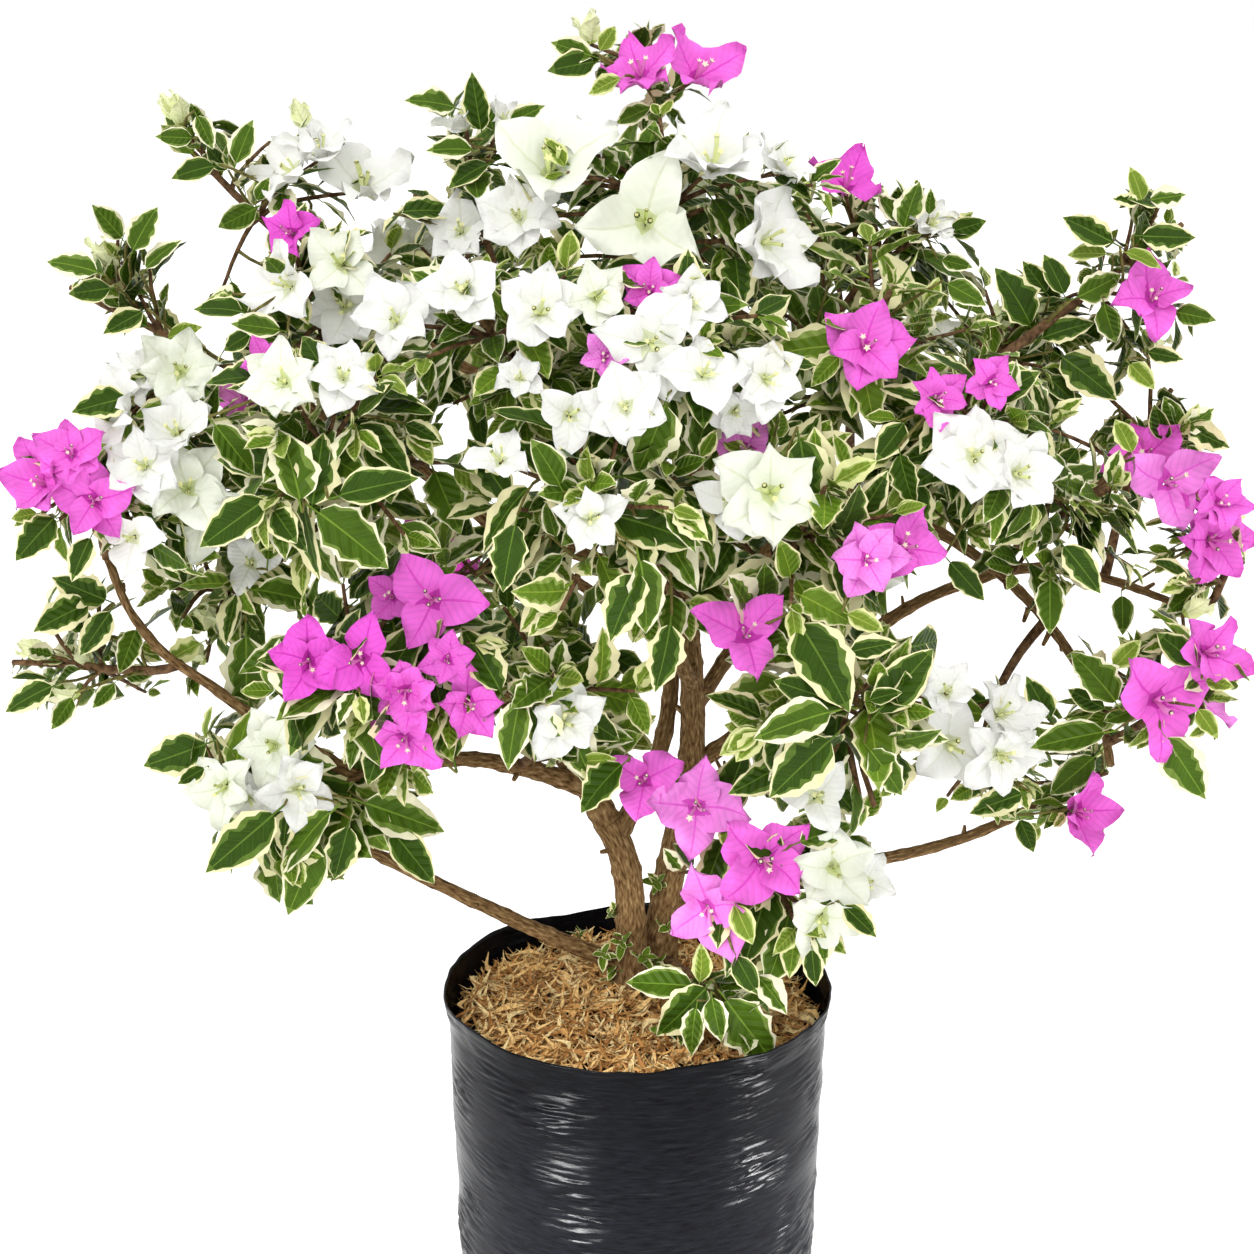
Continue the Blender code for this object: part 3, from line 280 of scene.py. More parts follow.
WHITE_BLOOMS = (
    (288, 166, 88, -0.5, 0.35), (320, 148, 70, 0.1, 0.8), (363, 180, 96, 0.1, 0.5), (340, 262, 86, 0.0, 0.1),
    (283, 284, 78, -0.4, 0.0), (345, 306, 92, 0.0, -0.1), (395, 318, 94, 0.0, 0.1), (180, 370, 82, 0.1, 0.2),
    (142, 374, 62, -0.3, 0.2), (283, 380, 88, -0.2, 0.1), (343, 375, 84, 0.1, 0.2), (463, 122, 46, -0.3, 0.7),
    (505, 116, 48, 0.3, 0.7), (550, 163, 102, -0.1, 0.55), (588, 142, 62, 0.1, 0.5),
    (518, 214, 88, -0.2, 0.2), (460, 228, 80, -0.1, 0.2), (462, 288, 84, 0.0, 0.2), (415, 306, 64, -0.3, 0.0),
    (542, 310, 98, 0.0, 0.1), (598, 296, 74, 0.1, 0.1), (645, 218, 116, -0.1, 0.1),
    (713, 158, 102, 0.05, 0.65), (772, 240, 112, 0.6, 0.0), (785, 166, 62, 0.3, 0.4),
    (652, 342, 102, 0.0, 0.0), (692, 303, 74, 0.1, 0.2), (705, 372, 94, 0.05, 0.2), (672, 386, 52, 0.0, 0.5),
    (768, 378, 88, 0.25, 0.1), (520, 377, 52, 0.0, 0.3), (500, 456, 66, 0.0, 0.35), (570, 414, 76, 0.1, 0.1),
    (625, 406, 94, -0.1, 0.2), (592, 518, 72, 0.2, 0.0), (772, 492, 118, 0.1, 0.0), (730, 500, 70, -0.1, 0.0),
    (735, 412, 62, 0.0, -0.2), (565, 722, 90, 0.1, 0.0), (933, 222, 54, 0.3, 0.4), (975, 455, 106, -0.1, 0.1),
    (1020, 473, 76, 0.4, -0.1), (118, 406, 84, -0.5, 0.1), (175, 428, 78, -0.1, 0.4),
    (143, 465, 88, -0.2, 0.0), (187, 487, 102, 0.0, 0.1), (202, 516, 82, 0.1, -0.3),
    (130, 538, 64, -0.2, -0.2), (250, 562, 60, 0.0, 0.1), (273, 746, 84, 0.0, 0.1), (222, 787, 78, -0.3, 0.0),
    (298, 790, 82, 0.2, -0.1), (248, 800, 60, 0.0, -0.3), (948, 690, 64, 0.0, 0.5), (952, 745, 94, 0.0, 0.0),
    (1005, 712, 88, 0.4, 0.2), (1004, 757, 90, 0.3, -0.2), (818, 796, 74, 0.1, 0.1), (835, 868, 92, 0.0, 0.1),
    (868, 882, 62, 0.3, 0.0), (822, 922, 78, 0.0, -0.4),
)
HALF_HIDDEN_BLOOMS = (
    (650, 290, 64, 0.0, 0.0), (605, 357, 54, 0.0, 0.0), (747, 448, 64, 0.0, 0.0), (264, 358, 46, 0.0, 0.0),
)
BUDS = (
    (180, 118), (175, 112), (104, 258), (112, 266), (132, 280), (305, 122), (590, 36), (1137, 210),
    (1148, 345), (1003, 322), (1052, 565), (40, 652), (85, 660), (72, 692), (215, 625), (200, 658),
    (187, 580), (795, 392), (1040, 320), (350, 806), (1190, 610), (370, 800),
)

# Twigs that show at the rim of the crown, by the pixel of their tips
RIM_TWIGS = (
    (192, 134), (122, 262), (168, 335), (480, 128), (504, 140), (600, 58), (660, 118), (905, 228), (952, 232),
    (1140, 206), (1104, 252), (1030, 322), (1063, 300), (1148, 350), (1178, 312), (1185, 430), (1130, 452),
    (1200, 700), (1103, 712), (1092, 760), (1040, 822), (50, 682), (75, 660), (100, 602), (122, 392),
    (60, 520), (205, 745), (272, 812), (330, 815), (368, 803), (392, 832), (278, 330), (250, 210), (985, 290),
    (150, 268), (700, 985), (745, 985), (860, 800),
)
# Leaves at the rim and in the front, by the pixels of their tip and of their foot
FRONT_LEAVES = (
    (157, 136, 192, 138), (213, 148, 197, 116), (252, 120, 236, 163), (172, 173, 214, 166),
    (218, 228, 256, 208), (268, 178, 257, 200), (46, 255, 97, 272), (68, 294, 110, 288), (94, 205, 122, 238),
    (153, 207, 133, 250), (176, 236, 146, 268), (104, 332, 142, 312), (200, 325, 168, 338),
    (163, 366, 155, 338), (212, 362, 188, 338), (193, 301, 242, 312), (232, 322, 280, 330),
    (222, 350, 250, 334), (77, 408, 126, 398), (411, 94, 454, 107), (471, 74, 481, 130), (541, 105, 510, 124),
    (530, 122, 500, 146), (427, 145, 472, 150), (448, 180, 488, 164), (455, 204, 402, 212),
    (551, 42, 592, 56), (550, 68, 594, 62), (616, 25, 600, 50), (588, 93, 620, 78), (615, 122, 650, 108),
    (917, 179, 904, 228), (880, 192, 900, 222), (931, 190, 929, 214), (985, 222, 950, 232),
    (985, 303, 948, 284), (972, 267, 942, 260), (1006, 270, 1030, 324), (1047, 252, 1064, 294),
    (1025, 262, 1046, 292), (1123, 275, 1078, 297), (1092, 318, 1042, 338), (1064, 216, 1112, 242),
    (1067, 250, 1106, 254), (1133, 168, 1142, 200), (1188, 193, 1150, 200), (1115, 197, 1138, 203),
    (1196, 238, 1142, 236), (1163, 265, 1126, 252), (1213, 319, 1176, 312), (1115, 345, 1104, 304),
    (1117, 395, 1062, 357), (1154, 388, 1130, 364), (1182, 358, 1148, 352), (1077, 402, 1048, 377),
    (1162, 397, 1182, 430), (1217, 408, 1184, 430), (1228, 445, 1188, 428), (1117, 418, 1132, 452),
    (1153, 407, 1166, 440), (1206, 468, 1188, 446), (1205, 798, 1166, 738), (1217, 736, 1198, 710),
    (1233, 687, 1206, 680), (1158, 632, 1196, 664), (1140, 640, 1114, 668), (1078, 650, 1116, 702),
    (1068, 690, 1104, 708), (1032, 744, 1104, 732), (1050, 795, 1094, 757), (1028, 679, 1050, 718),
    (972, 810, 1022, 794), (1034, 852, 1020, 820), (1124, 632, 1122, 596), (1050, 632, 1050, 580),
    (984, 600, 950, 562), (883, 630, 848, 614), (897, 640, 850, 652), (932, 648, 878, 712),
    (1102, 590, 1064, 546), (17, 556, 54, 518), (70, 578, 90, 538), (56, 580, 106, 600), (36, 625, 88, 604),
    (80, 656, 110, 612), (3, 708, 52, 686), (52, 729, 72, 698), (93, 708, 114, 684), (120, 672, 136, 630),
    (142, 768, 206, 744), (178, 784, 204, 768), (163, 661, 200, 643), (247, 722, 246, 637),
    (207, 872, 274, 814), (288, 915, 318, 842), (272, 868, 330, 812), (335, 880, 348, 827),
    (445, 830, 365, 803), (434, 882, 392, 831), (575, 806, 622, 764), (627, 980, 692, 986),
    (660, 1037, 706, 988), (773, 1064, 726, 1000), (788, 1008, 757, 976), (757, 996, 736, 956),
    (688, 1056, 696, 1008), (720, 1040, 712, 998), (704, 945, 700, 982), (815, 986, 812, 950),
    (876, 936, 844, 906), (854, 822, 800, 842), (752, 944, 735, 905), (325, 600, 258, 590),
    (285, 425, 300, 500), (325, 430, 312, 505), (415, 475, 340, 495), (390, 565, 318, 512),
    (250, 440, 205, 430), (255, 475, 215, 425), (465, 625, 500, 690), (430, 666, 453, 758),
    (200, 545, 265, 500), (272, 500, 268, 560), (640, 480, 665, 405), (535, 440, 560, 485),
    (500, 590, 515, 525), (655, 635, 640, 560), (606, 632, 640, 575), (660, 690, 670, 625),
    (770, 795, 830, 740), (760, 730, 830, 712), (850, 700, 800, 625), (775, 680, 845, 705),
    (900, 690, 870, 700), (905, 795, 870, 750), (815, 520, 800, 440), (910, 505, 900, 455),
    (560, 760, 530, 705), (505, 765, 520, 700),
)

# Bare old flower stalks, by the mass that they leave and the pixel of their tips, and green sprouts at the
# feet of the stems, by limb, share of its length and heading
BARE_TWIGS = (("right_front", 862, 812), ("right_front", 874, 806))
BARE_RADII = (0.0015, 0.0022)
SPROUTS = (
    ("left_stem", 0.07, 185), ("left_stem", 0.16, 215), ("left_stem", 0.30, 240), ("left_stem", 0.22, 310),
    ("left_stem", 0.44, 200), ("right_stem", 0.04, 262), ("right_stem", 0.11, 290), ("right_stem", 0.20, 235),
    ("left_low_limb", 0.10, 262), ("left_low_limb", 0.20, 80),
)
SPROUT_LENGTH = 0.011
SPROUT_LEAVES = 6
SPROUT_LEAF = (0.007, 0.015)
SPROUT_RISE = 35

# Leaves of FRONT_LEAVES: how much longer than read, how far their faces turn from the camera, where along a
# twig their own fine twigs leave, the share of the leaf patterns that they use, their shades, and the length
# below which some are young
FRONT_LEAF_WIDER = 1.02
FRONT_LEAF_SPREAD = 0.4
FRONT_TWIG_SHARES = (0.25, 0.97)
FRONT_PATTERNS = 0.75
FRONT_SHADES = ("dark", "mid")
YOUNG_LEAF = 0.03

# The crown's outline in the picture, clockwise from its left tip, and the gaps in it as (x, y, reach)
CROWN_OUTLINE = (
    (0, 710), (5, 672), (20, 632), (50, 590), (52, 570), (12, 560), (10, 525), (0, 510), (0, 465), (55, 422),
    (105, 430), (78, 402), (120, 385), (140, 345), (135, 332), (100, 335), (95, 308), (65, 298), (72, 282),
    (42, 256), (60, 240), (85, 240), (90, 200), (128, 225), (152, 200), (180, 235), (158, 272), (175, 290),
    (165, 322), (195, 322), (218, 348), (232, 318), (190, 302), (215, 288), (244, 285), (262, 250),
    (256, 226), (215, 232), (222, 203), (250, 200), (234, 176), (168, 177), (178, 154), (198, 150),
    (155, 138), (160, 100), (184, 95), (216, 118), (222, 138), (254, 115), (254, 150), (274, 132), (296, 130),
    (288, 106), (320, 112), (370, 146), (400, 160), (420, 198), (452, 198), (446, 182), (452, 160),
    (424, 146), (436, 118), (406, 92), (455, 90), (470, 70), (490, 96), (545, 102), (534, 126), (580, 114),
    (606, 132), (628, 102), (586, 94), (598, 76), (546, 68), (552, 36), (590, 16), (620, 22), (672, 20),
    (748, 32), (730, 112), (706, 108), (690, 118), (750, 112), (756, 136), (786, 136), (806, 152), (855, 156),
    (890, 188), (920, 176), (940, 202), (988, 220), (964, 238), (988, 272), (994, 318), (1010, 296),
    (1004, 266), (1044, 248), (1102, 262), (1064, 250), (1098, 240), (1062, 214), (1116, 220), (1112, 196),
    (1132, 165), (1156, 188), (1192, 190), (1166, 210), (1198, 240), (1176, 258), (1198, 276), (1192, 300),
    (1216, 318), (1184, 358), (1158, 364), (1156, 390), (1118, 398), (1090, 384), (1076, 420), (1100, 440),
    (1110, 414), (1140, 426), (1164, 392), (1220, 404), (1210, 426), (1230, 446), (1204, 452), (1244, 482),
    (1254, 540), (1236, 590), (1250, 615), (1254, 665), (1242, 700), (1218, 740), (1198, 746), (1210, 800),
    (1188, 784), (1162, 746), (1124, 760), (1112, 730), (1106, 775), (1088, 780), (1124, 820), (1110, 860),
    (1060, 826), (1034, 860), (1008, 820), (860, 872), (890, 880), (876, 940), (852, 946), (824, 986),
    (806, 960), (780, 1070), (655, 1045), (625, 975), (690, 900), (620, 800), (598, 800), (580, 772),
    (500, 745), (450, 772), (445, 838), (440, 885), (392, 860), (350, 860), (338, 882), (316, 880),
    (290, 918), (268, 890), (262, 850), (208, 875), (205, 845), (225, 812), (170, 790), (138, 772),
    (150, 735), (210, 705), (205, 695), (100, 700), (52, 732), (45, 706),
)
CROWN_HOLES = (
    (455, 424, 16), (424, 492, 16), (278, 622, 17), (165, 632, 14), (215, 655, 14), (205, 600, 7),
    (530, 520, 9), (735, 600, 10), (790, 682, 12), (985, 625, 40), (940, 615, 22), (1022, 652, 22),
    (1094, 602, 18), (905, 628, 12), (1062, 668, 12), (910, 812, 26), (878, 820, 14), (945, 822, 14),
    (975, 664, 15), (925, 786, 13), (972, 806, 12), (512, 730, 16), (190, 645, 14), (1150, 600, 10),
    (1075, 425, 12), (440, 590, 6), (725, 690, 8), (1000, 560, 6), (150, 560, 8),
)
SKY_CELL = 4
SKY_STEPS = 6

# How far forward in its mass a bloom of the picture stands, and how it moves back from those before it
BLOOM_DEPTH_SHARE = 0.78
BLOOM_APART = 0.030
BLOOM_STEP = 0.008
BLOOM_STEPS_BACK = 5
# The space before a bloom's face that leaves keep out of
BLOOM_VIEW = (0.004, 0.10)

# The far sides, which the picture doesn't show, get blooms in the same mix
FAR_BLOOMS = {"side": 3, "back": 6}
FAR_MAGENTA = 0.36
FAR_LEANS = (10, 75)
FAR_DEPTHS = {"side": 0.55, "back": 0.1}
RIM_TESTS = 6

# Bark: how finely it is cut, and its relief
BARK_SPACING = 0.0026
BARK_ARC = 0.0026
BARK_FISSURE = 0.00055
BARK_LUMP = 0.07
BARK_NODES = 0.034
NODE_SWELL = 0.12
LIMB_THINNED = 0.22
NODE_LENGTH = 0.0035
NODE_SCATTER = 0.01
LUMP_WIDTH = 0.012
LUMP_LENGTH = 0.022
FISSURE_WIDTH = 0.0028
FISSURE_LENGTH = 0.016
COLLAR_SWELL = 0.22
COLLAR_LENGTH = 0.012
STUBS_PER_METRE = 16
STUB_LENGTHS = (0.003, 0.009)
STUB_RADII = (0.0012, 0.0024)
STUB_CORNERS = 7

# The bag's film: the mesh of its wall, and the sizes of its creases, its dents and its creased patches
FILM_COLUMNS = 240
FILM_ROWS = 250
CREASE_LENGTH = 0.042
CREASE_HEIGHT = 0.0036
CREASE_DEPTH = 0.0021
RIM_CRINKLE = 0.0011
DENT_LENGTH = 0.075
DENT_HEIGHT = 0.030
DENT_DEPTH = 0.0016
PATCH_LENGTH = 0.05
PATCH_HEIGHT = 0.035
# The mesh rows of its foot, corner, folded rim and inside, which starts just under the rim and ends in the mix
FOOT_RINGS = (0.0, 0.6, 0.93)
CORNER_ROWS = 5
RIM_INSETS = (0.35, 0.7, 1.0)
RIM_FOLD = 0.8
RIM_BULGE = 0.0007
INSIDE_ROWS = 16
INSIDE_TOP = 0.003
INSIDE_DEPTH = 0.012

# Mulch of curled chips
CHIPS = 4300
CHIP_LENGTHS = (0.015, 0.028)
CHIP_LAYER = 0.011
CHIP_DOME = 0.005
CHIP_VARIANTS = 6
# How a chip is shaped for its length, and how it lies: off the wall, over the mix, and tipped
CHIP_ROWS = 5
CHIP_CURLS = (0.4, 1.5)
CHIP_CUPS = (0.15, 0.4)
CHIP_HALF_WIDTHS = (0.055, 0.095)
CHIP_SWAY = 0.36
CHIP_WALL_GAP = 0.010
CHIP_LIFT = 0.0015
CHIP_TIP = 0.22
CHIP_ROLL = 0.4
CHIPS_TURNED = 0.35

# The most triangles that a piece is meant to have
PIECE_TRIANGLES = 150000

# The studio. Each sun: its heading, rise, strength and how wide it spreads, in degrees
FLOOR_RADIUS = 60
FLOOR_CORNERS = 64
FLOOR_GLOW = 0.35
SUNS = {"key": (236, 56, 0.62, 14), "front": (262, 28, 0.30, 14), "fill": (312, 40, 0.08, 40)}
# The small soft box over the mulch: its place, what it points at, its power, size and spread
MULCH_LIGHT_PLACE = Vector((-0.14, -0.50, 0.66))
MULCH_LIGHT_AIM = Vector((0.0, -0.03, MIX_TOP))
MULCH_LIGHT = 0.085
MULCH_LIGHT_SIZE = 0.12
MULCH_LIGHT_SPREAD = 40
# The low soft boxes before the bag: the heading and width of each, then how far out and high they stand, and
# their height, power and spread
FILM_LIGHTS = {"soft_box_left": (232, 0.30), "soft_box_right": (338, 0.26)}
FILM_LIGHT_OUT = 0.66
FILM_LIGHT_UP = Vector((0, 0, 0.15))
FILM_LIGHT_HEIGHT = 0.12
FILM_LIGHT_POWER = 1.2
FILM_LIGHT_SPREAD = 44


# ---------------------------------------------------------------------------------------------------------
# Materials
# ---------------------------------------------------------------------------------------------------------

def tint(red, green, blue):
    """An 8-bit display colour as the linear colour that a shader takes."""
    linear = []
    for level in (red, green, blue):
        share = level / 255
        linear.append(share / 12.92 if share <= 0.04045 else ((share + 0.055) / 1.055) ** 2.4)
    return (*linear, 1.0)


def surface_material(name, roughness, specular=0.5):
    """A new Principled material, and its node tree and shader."""
    material = bpy.data.materials.new(name)
    material.use_nodes = True
    tree = material.node_tree
    surface = tree.nodes["Principled BSDF"]
    surface.inputs["Roughness"].default_value = roughness
    surface.inputs["Specular IOR Level"].default_value = specular
    return material, tree, surface


def add_noise(tree, scale, detail=4.0, stretch=(1, 1, 1), source="Object"):
    """A noise texture in metres, its pattern drawn out by a stretch."""
    place = tree.nodes.new("ShaderNodeTexCoord")
    mapping = tree.nodes.new("ShaderNodeMapping")
    mapping.inputs["Scale"].default_value = stretch
    pattern = tree.nodes.new("ShaderNodeTexNoise")
    pattern.inputs["Scale"].default_value = scale
    pattern.inputs["Detail"].default_value = detail
    tree.links.new(place.outputs[source], mapping.inputs["Vector"])
    tree.links.new(mapping.outputs["Vector"], pattern.inputs["Vector"])
    return pattern


def colour_by(tree, surface, pattern, stops):
    """Base colour from a pattern through a ramp of (position, colour) stops."""
    ramp = tree.nodes.new("ShaderNodeValToRGB")
    elements = ramp.color_ramp.elements
    for element, (position, colour) in zip(elements, (stops[0], stops[-1])):
        element.position = position
        element.color = colour
    for position, colour in stops[1:-1]:
        elements.new(position).color = colour
    tree.links.new(pattern.outputs[0], ramp.inputs["Fac"])
    tree.links.new(ramp.outputs["Color"], surface.inputs["Base Color"])


def bump_by(tree, surface, pattern, distance, strength=1.0):
    """Bump from a pattern, so many metres deep."""
    bump = tree.nodes.new("ShaderNodeBump")
    bump.inputs["Distance"].default_value = distance
    bump.inputs["Strength"].default_value = strength
    tree.links.new(pattern.outputs[0], bump.inputs["Height"])
    tree.links.new(bump.outputs["Normal"], surface.inputs["Normal"])


def math_node(tree, operation, first, second=0.0):
    """A step of arithmetic on a node's output and a number or another output."""
    node = tree.nodes.new("ShaderNodeMath")
    node.operation = operation
    tree.links.new(first, node.inputs[0])
    if isinstance(second, bpy.types.NodeSocket):
        tree.links.new(second, node.inputs[1])
    else:
        node.inputs[1].default_value = second
    return node


def tinted(colour, level):
    """A colour made darker or lighter."""
    return tuple(min(1.0, part * level) for part in colour[:3]) + (1.0,)


def blended(first, second, share):
    """A colour that lies a share of the way from one to another."""
    return tuple(part + (other - part) * share for part, other in zip(first, second))


def mottled(tree, surface, pattern, stops, mottle, spread):
    """Base colour from a pattern through a ramp, made uneven by a second pattern."""
    colour_by(tree, surface, pattern, stops)
    ramp = surface.inputs["Base Color"].links[0].from_node
    shade = tree.nodes.new("ShaderNodeMapRange")
    shade.inputs["From Min"].default_value = 0.3
    shade.inputs["From Max"].default_value = 0.7
    shade.inputs["To Min"].default_value = 1 - spread
    shade.inputs["To Max"].default_value = 1 + spread
    product = tree.nodes.new("ShaderNodeVectorMath")
    product.operation = "SCALE"
    tree.links.new(mottle.outputs[0], shade.inputs["Value"])
    tree.links.new(ramp.outputs["Color"], product.inputs[0])
    tree.links.new(shade.outputs["Result"], product.inputs["Scale"])
    tree.links.new(product.outputs["Vector"], surface.inputs["Base Color"])


def side_veins(tree):
    """A pattern over a leaf's own UV: 0 on its side veins, which slant forward from the rib, and 1 between."""
    place = tree.nodes.new("ShaderNodeTexCoord")
    parts = tree.nodes.new("ShaderNodeSeparateXYZ")
    tree.links.new(place.outputs["UV"], parts.inputs["Vector"])
    aside = math_node(tree, "ABSOLUTE", parts.outputs["X"])
    slant = math_node(tree, "MULTIPLY", aside.outputs[0], VEIN_SLANT)
    along = math_node(tree, "SUBTRACT", parts.outputs["Y"], slant.outputs[0])
    pairs = math_node(tree, "MULTIPLY", along.outputs[0], VEIN_PAIRS)
    folded = math_node(tree, "PINGPONG", pairs.outputs[0], 0.5)
    return math_node(tree, "MULTIPLY", folded.outputs[0], 2.0)


def blade_material(name, colour, vein, spread):
    """The green of a leaf: pale side veins, the blade full between them, and an uneven shade."""
    material, tree, surface = surface_material(name, 0.42, 0.12)
    veins = side_veins(tree)
    stops = ((0.0, vein), (0.10, tinted(colour, 0.92)), (1.0, tinted(colour, 1.10)))
    mottled(tree, surface, veins, stops, add_noise(tree, 75.0, 4.0), spread)
    bump_by(tree, surface, veins, 0.0011, 0.8)
    return material


def soft_material(name, colour, roughness, spread, specular=0.12):
    """Leaf margin, rib or flower tissue: one colour with a soft mottle and a fine uneven surface."""
    material, tree, surface = surface_material(name, roughness, specular)
    stops = ((0.35, tinted(colour, 1 - spread)), (0.65, tinted(colour, 1 + spread)))
    colour_by(tree, surface, add_noise(tree, 140.0, 4.0), stops)
    bump_by(tree, surface, add_noise(tree, 420.0, 3.0), 0.0003, 0.5)
    return material


def bract_material(name, colour, vein, spread, glow):
    """A papery bract: fine veins that slant forward from its rib, lighter between them, and soft folds.
    Its faint glow is painted light: it lifts the shaded side and stands for the light that comes through it."""
    material, tree, surface = surface_material(name, 0.6, 0.1)
    surface.inputs["Emission Color"].default_value = colour
    surface.inputs["Emission Strength"].default_value = glow
    veins = side_veins(tree)
    stops = ((0.0, vein), (0.16, blended(vein, colour, 0.7)), (0.6, colour))
    mottled(tree, surface, veins, stops, add_noise(tree, 60.0, 4.0), spread)
    bump_by(tree, surface, veins, 0.0004, 0.5)
    surface.inputs["Sheen Weight"].default_value = 0.1
    return material


def leaf_materials():
    """The materials of the leaves: for each shade its margin, blade, rib and the band round the blade."""
    margin = tint(236, 230, 180)
    ivory = tint(242, 238, 204)
    shades = {
        "dark": (margin, tint(50, 76, 12), tint(92, 120, 40), tint(90, 116, 42)),
        "mid": (ivory, tint(70, 98, 20), tint(112, 140, 46), tint(114, 138, 58)),
        "fresh": (margin, tint(96, 126, 30), tint(142, 166, 58), tint(142, 164, 78)),
        "young": (tint(220, 222, 156), tint(116, 140, 44), tint(164, 180, 84), tint(164, 182, 96)),
    }
    materials = []
    for shade, (edge, blade, rib, band) in shades.items():
        materials.append(soft_material(f"leaf_margin_{shade}", edge, 0.5, 0.06))
        materials.append(blade_material(f"leaf_blade_{shade}", blade, blended(blade, rib, 0.35), 0.16))
        materials.append(soft_material(f"leaf_rib_{shade}", rib, 0.5, 0.08))
        materials.append(blade_material(f"leaf_band_{shade}", band, blended(band, rib, 0.35), 0.12))
    return materials


def bract_materials():
    """The materials of the blooms: for each shade its bract, rib, throat, flower tube and star."""
    shades = {
        "white": (tint(233, 233, 229), tint(230, 232, 222), tint(222, 227, 196), tint(222, 228, 164),
                  tint(240, 238, 176)),
        "cream": (tint(231, 234, 220), tint(226, 230, 206), tint(214, 222, 172), tint(212, 222, 150),
                  tint(236, 234, 166)),
        "bud": (tint(232, 236, 190), tint(206, 216, 140), tint(190, 206, 116), tint(206, 216, 140),
                tint(236, 234, 166)),
        "magenta": (tint(238, 112, 218), tint(218, 80, 196), tint(202, 64, 180), tint(224, 146, 200),
                    tint(242, 226, 204)),
        "pink": (tint(244, 144, 230), tint(228, 108, 212), tint(216, 88, 198), tint(234, 166, 214),
                 tint(244, 230, 208)),
        "purple": (tint(230, 92, 210), tint(206, 62, 184), tint(186, 48, 164), tint(216, 134, 192),
                   tint(238, 216, 194)),
    }
    materials = []
    for shade, (bract, rib, throat, tube, star) in shades.items():
        pale = shade in ("white", "cream", "bud")
        depth, mottle = (0.97, 0.015) if pale else (0.84, 0.12)
        # Pale bracts get a painted glow that lifts their shaded sides; the others get none
        glow = BRACT_PAINTED_GLOW if pale else 0.0
        materials.append(bract_material(f"bract_{shade}", bract, tinted(bract, depth), mottle, glow))
        materials.append(soft_material(f"rib_{shade}", rib, 0.6, 0.04))
        materials.append(bract_material(f"throat_{shade}", throat, tinted(throat, depth), 0.03, 0.0))
        materials.append(soft_material(f"tube_{shade}", tube, 0.6, 0.05))
        materials.append(soft_material(f"star_{shade}", star, 0.6, 0.03))
    return materials


def bark_material():
    """Grey-brown bark, with long fissures along the limb and pale flecks."""
    material, tree, surface = surface_material("bark", 0.85, 0.08)
    along = add_noise(tree, 1.0, 7.0, (520, 130, 1), "UV")
    stops = (
        (0.30, tint(60, 42, 24)),
        (0.43, tint(104, 78, 48)),
        (0.58, tint(136, 108, 72)),
        (0.74, tint(176, 148, 108)),
    )
    colour_by(tree, surface, along, stops)
    bump_by(tree, surface, along, 0.0011, 0.9)
    return material


def twig_material(name, dark, light):
    """Thin young bark or green wood."""
    material, tree, surface = surface_material(name, 0.7, 0.12)
    pattern = add_noise(tree, 220.0, 4.0)
    colour_by(tree, surface, pattern, ((0.35, dark), (0.65, light)))
    bump_by(tree, surface, pattern, 0.0004, 0.6)
    return material


def film_material():
    """Black film, satin, with fine creases that lie level round the bag."""
    material, tree, surface = surface_material("film", 0.2, 0.08)
    creases = add_noise(tree, 1.0, 6.0, (70, 70, 520))
    creases.inputs["Roughness"].default_value = 0.6
    colour_by(tree, surface, creases, ((0.35, tint(6, 6, 8)), (0.7, tint(17, 18, 22))))
    bump_by(tree, surface, creases, 0.0003, 0.7)
    scuffs = add_noise(tree, 9.0, 5.0, (1, 1, 3))
    spread = tree.nodes.new("ShaderNodeMapRange")
    spread.inputs["To Min"].default_value = 0.13
    spread.inputs["To Max"].default_value = 0.27
    tree.links.new(scuffs.outputs["Fac"], spread.inputs["Value"])
    tree.links.new(spread.outputs["Result"], surface.inputs["Roughness"])
    return material


def mix_material():
    """The dark, crumbly mix under the chips."""
    material, tree, surface = surface_material("potting_mix", 0.95, 0.2)
    crumbs = add_noise(tree, 260.0, 6.0)
    stops = ((0.35, tint(18, 11, 6)), (0.55, tint(34, 22, 11)), (0.75, tint(60, 40, 22)))
    colour_by(tree, surface, crumbs, stops)
    bump_by(tree, surface, crumbs, 0.003, 1.0)
    return material


def chip_materials():
    """Four tans of dry chips."""
    tans = (tint(246, 204, 136), tint(226, 174, 104), tint(176, 124, 68), tint(252, 224, 164))
    materials = []
    for index, colour in enumerate(tans):
        dark = tinted(colour, 0.36)
        material, tree, surface = surface_material(f"chip_{index + 1}", 0.8, 0.25)
        grain = add_noise(tree, 420.0, 4.0)
        colour_by(tree, surface, grain, ((0.28, dark), (0.55, colour)))
        bump_by(tree, surface, grain, 0.0005, 0.7)
        materials.append(material)
    return materials


def studio_material():
    """The pale floor, lit a little from below so that it stays as pale as the sky round it."""
    material, _, surface = surface_material("studio_floor", 0.9, 0.0)
    surface.inputs["Base Color"].default_value = (0.92, 0.92, 0.92, 1.0)
    surface.inputs["Emission Color"].default_value = (1.0, 1.0, 1.0, 1.0)
    surface.inputs["Emission Strength"].default_value = FLOOR_GLOW
    return material


# ---------------------------------------------------------------------------------------------------------
# Meshes from arrays
# ---------------------------------------------------------------------------------------------------------

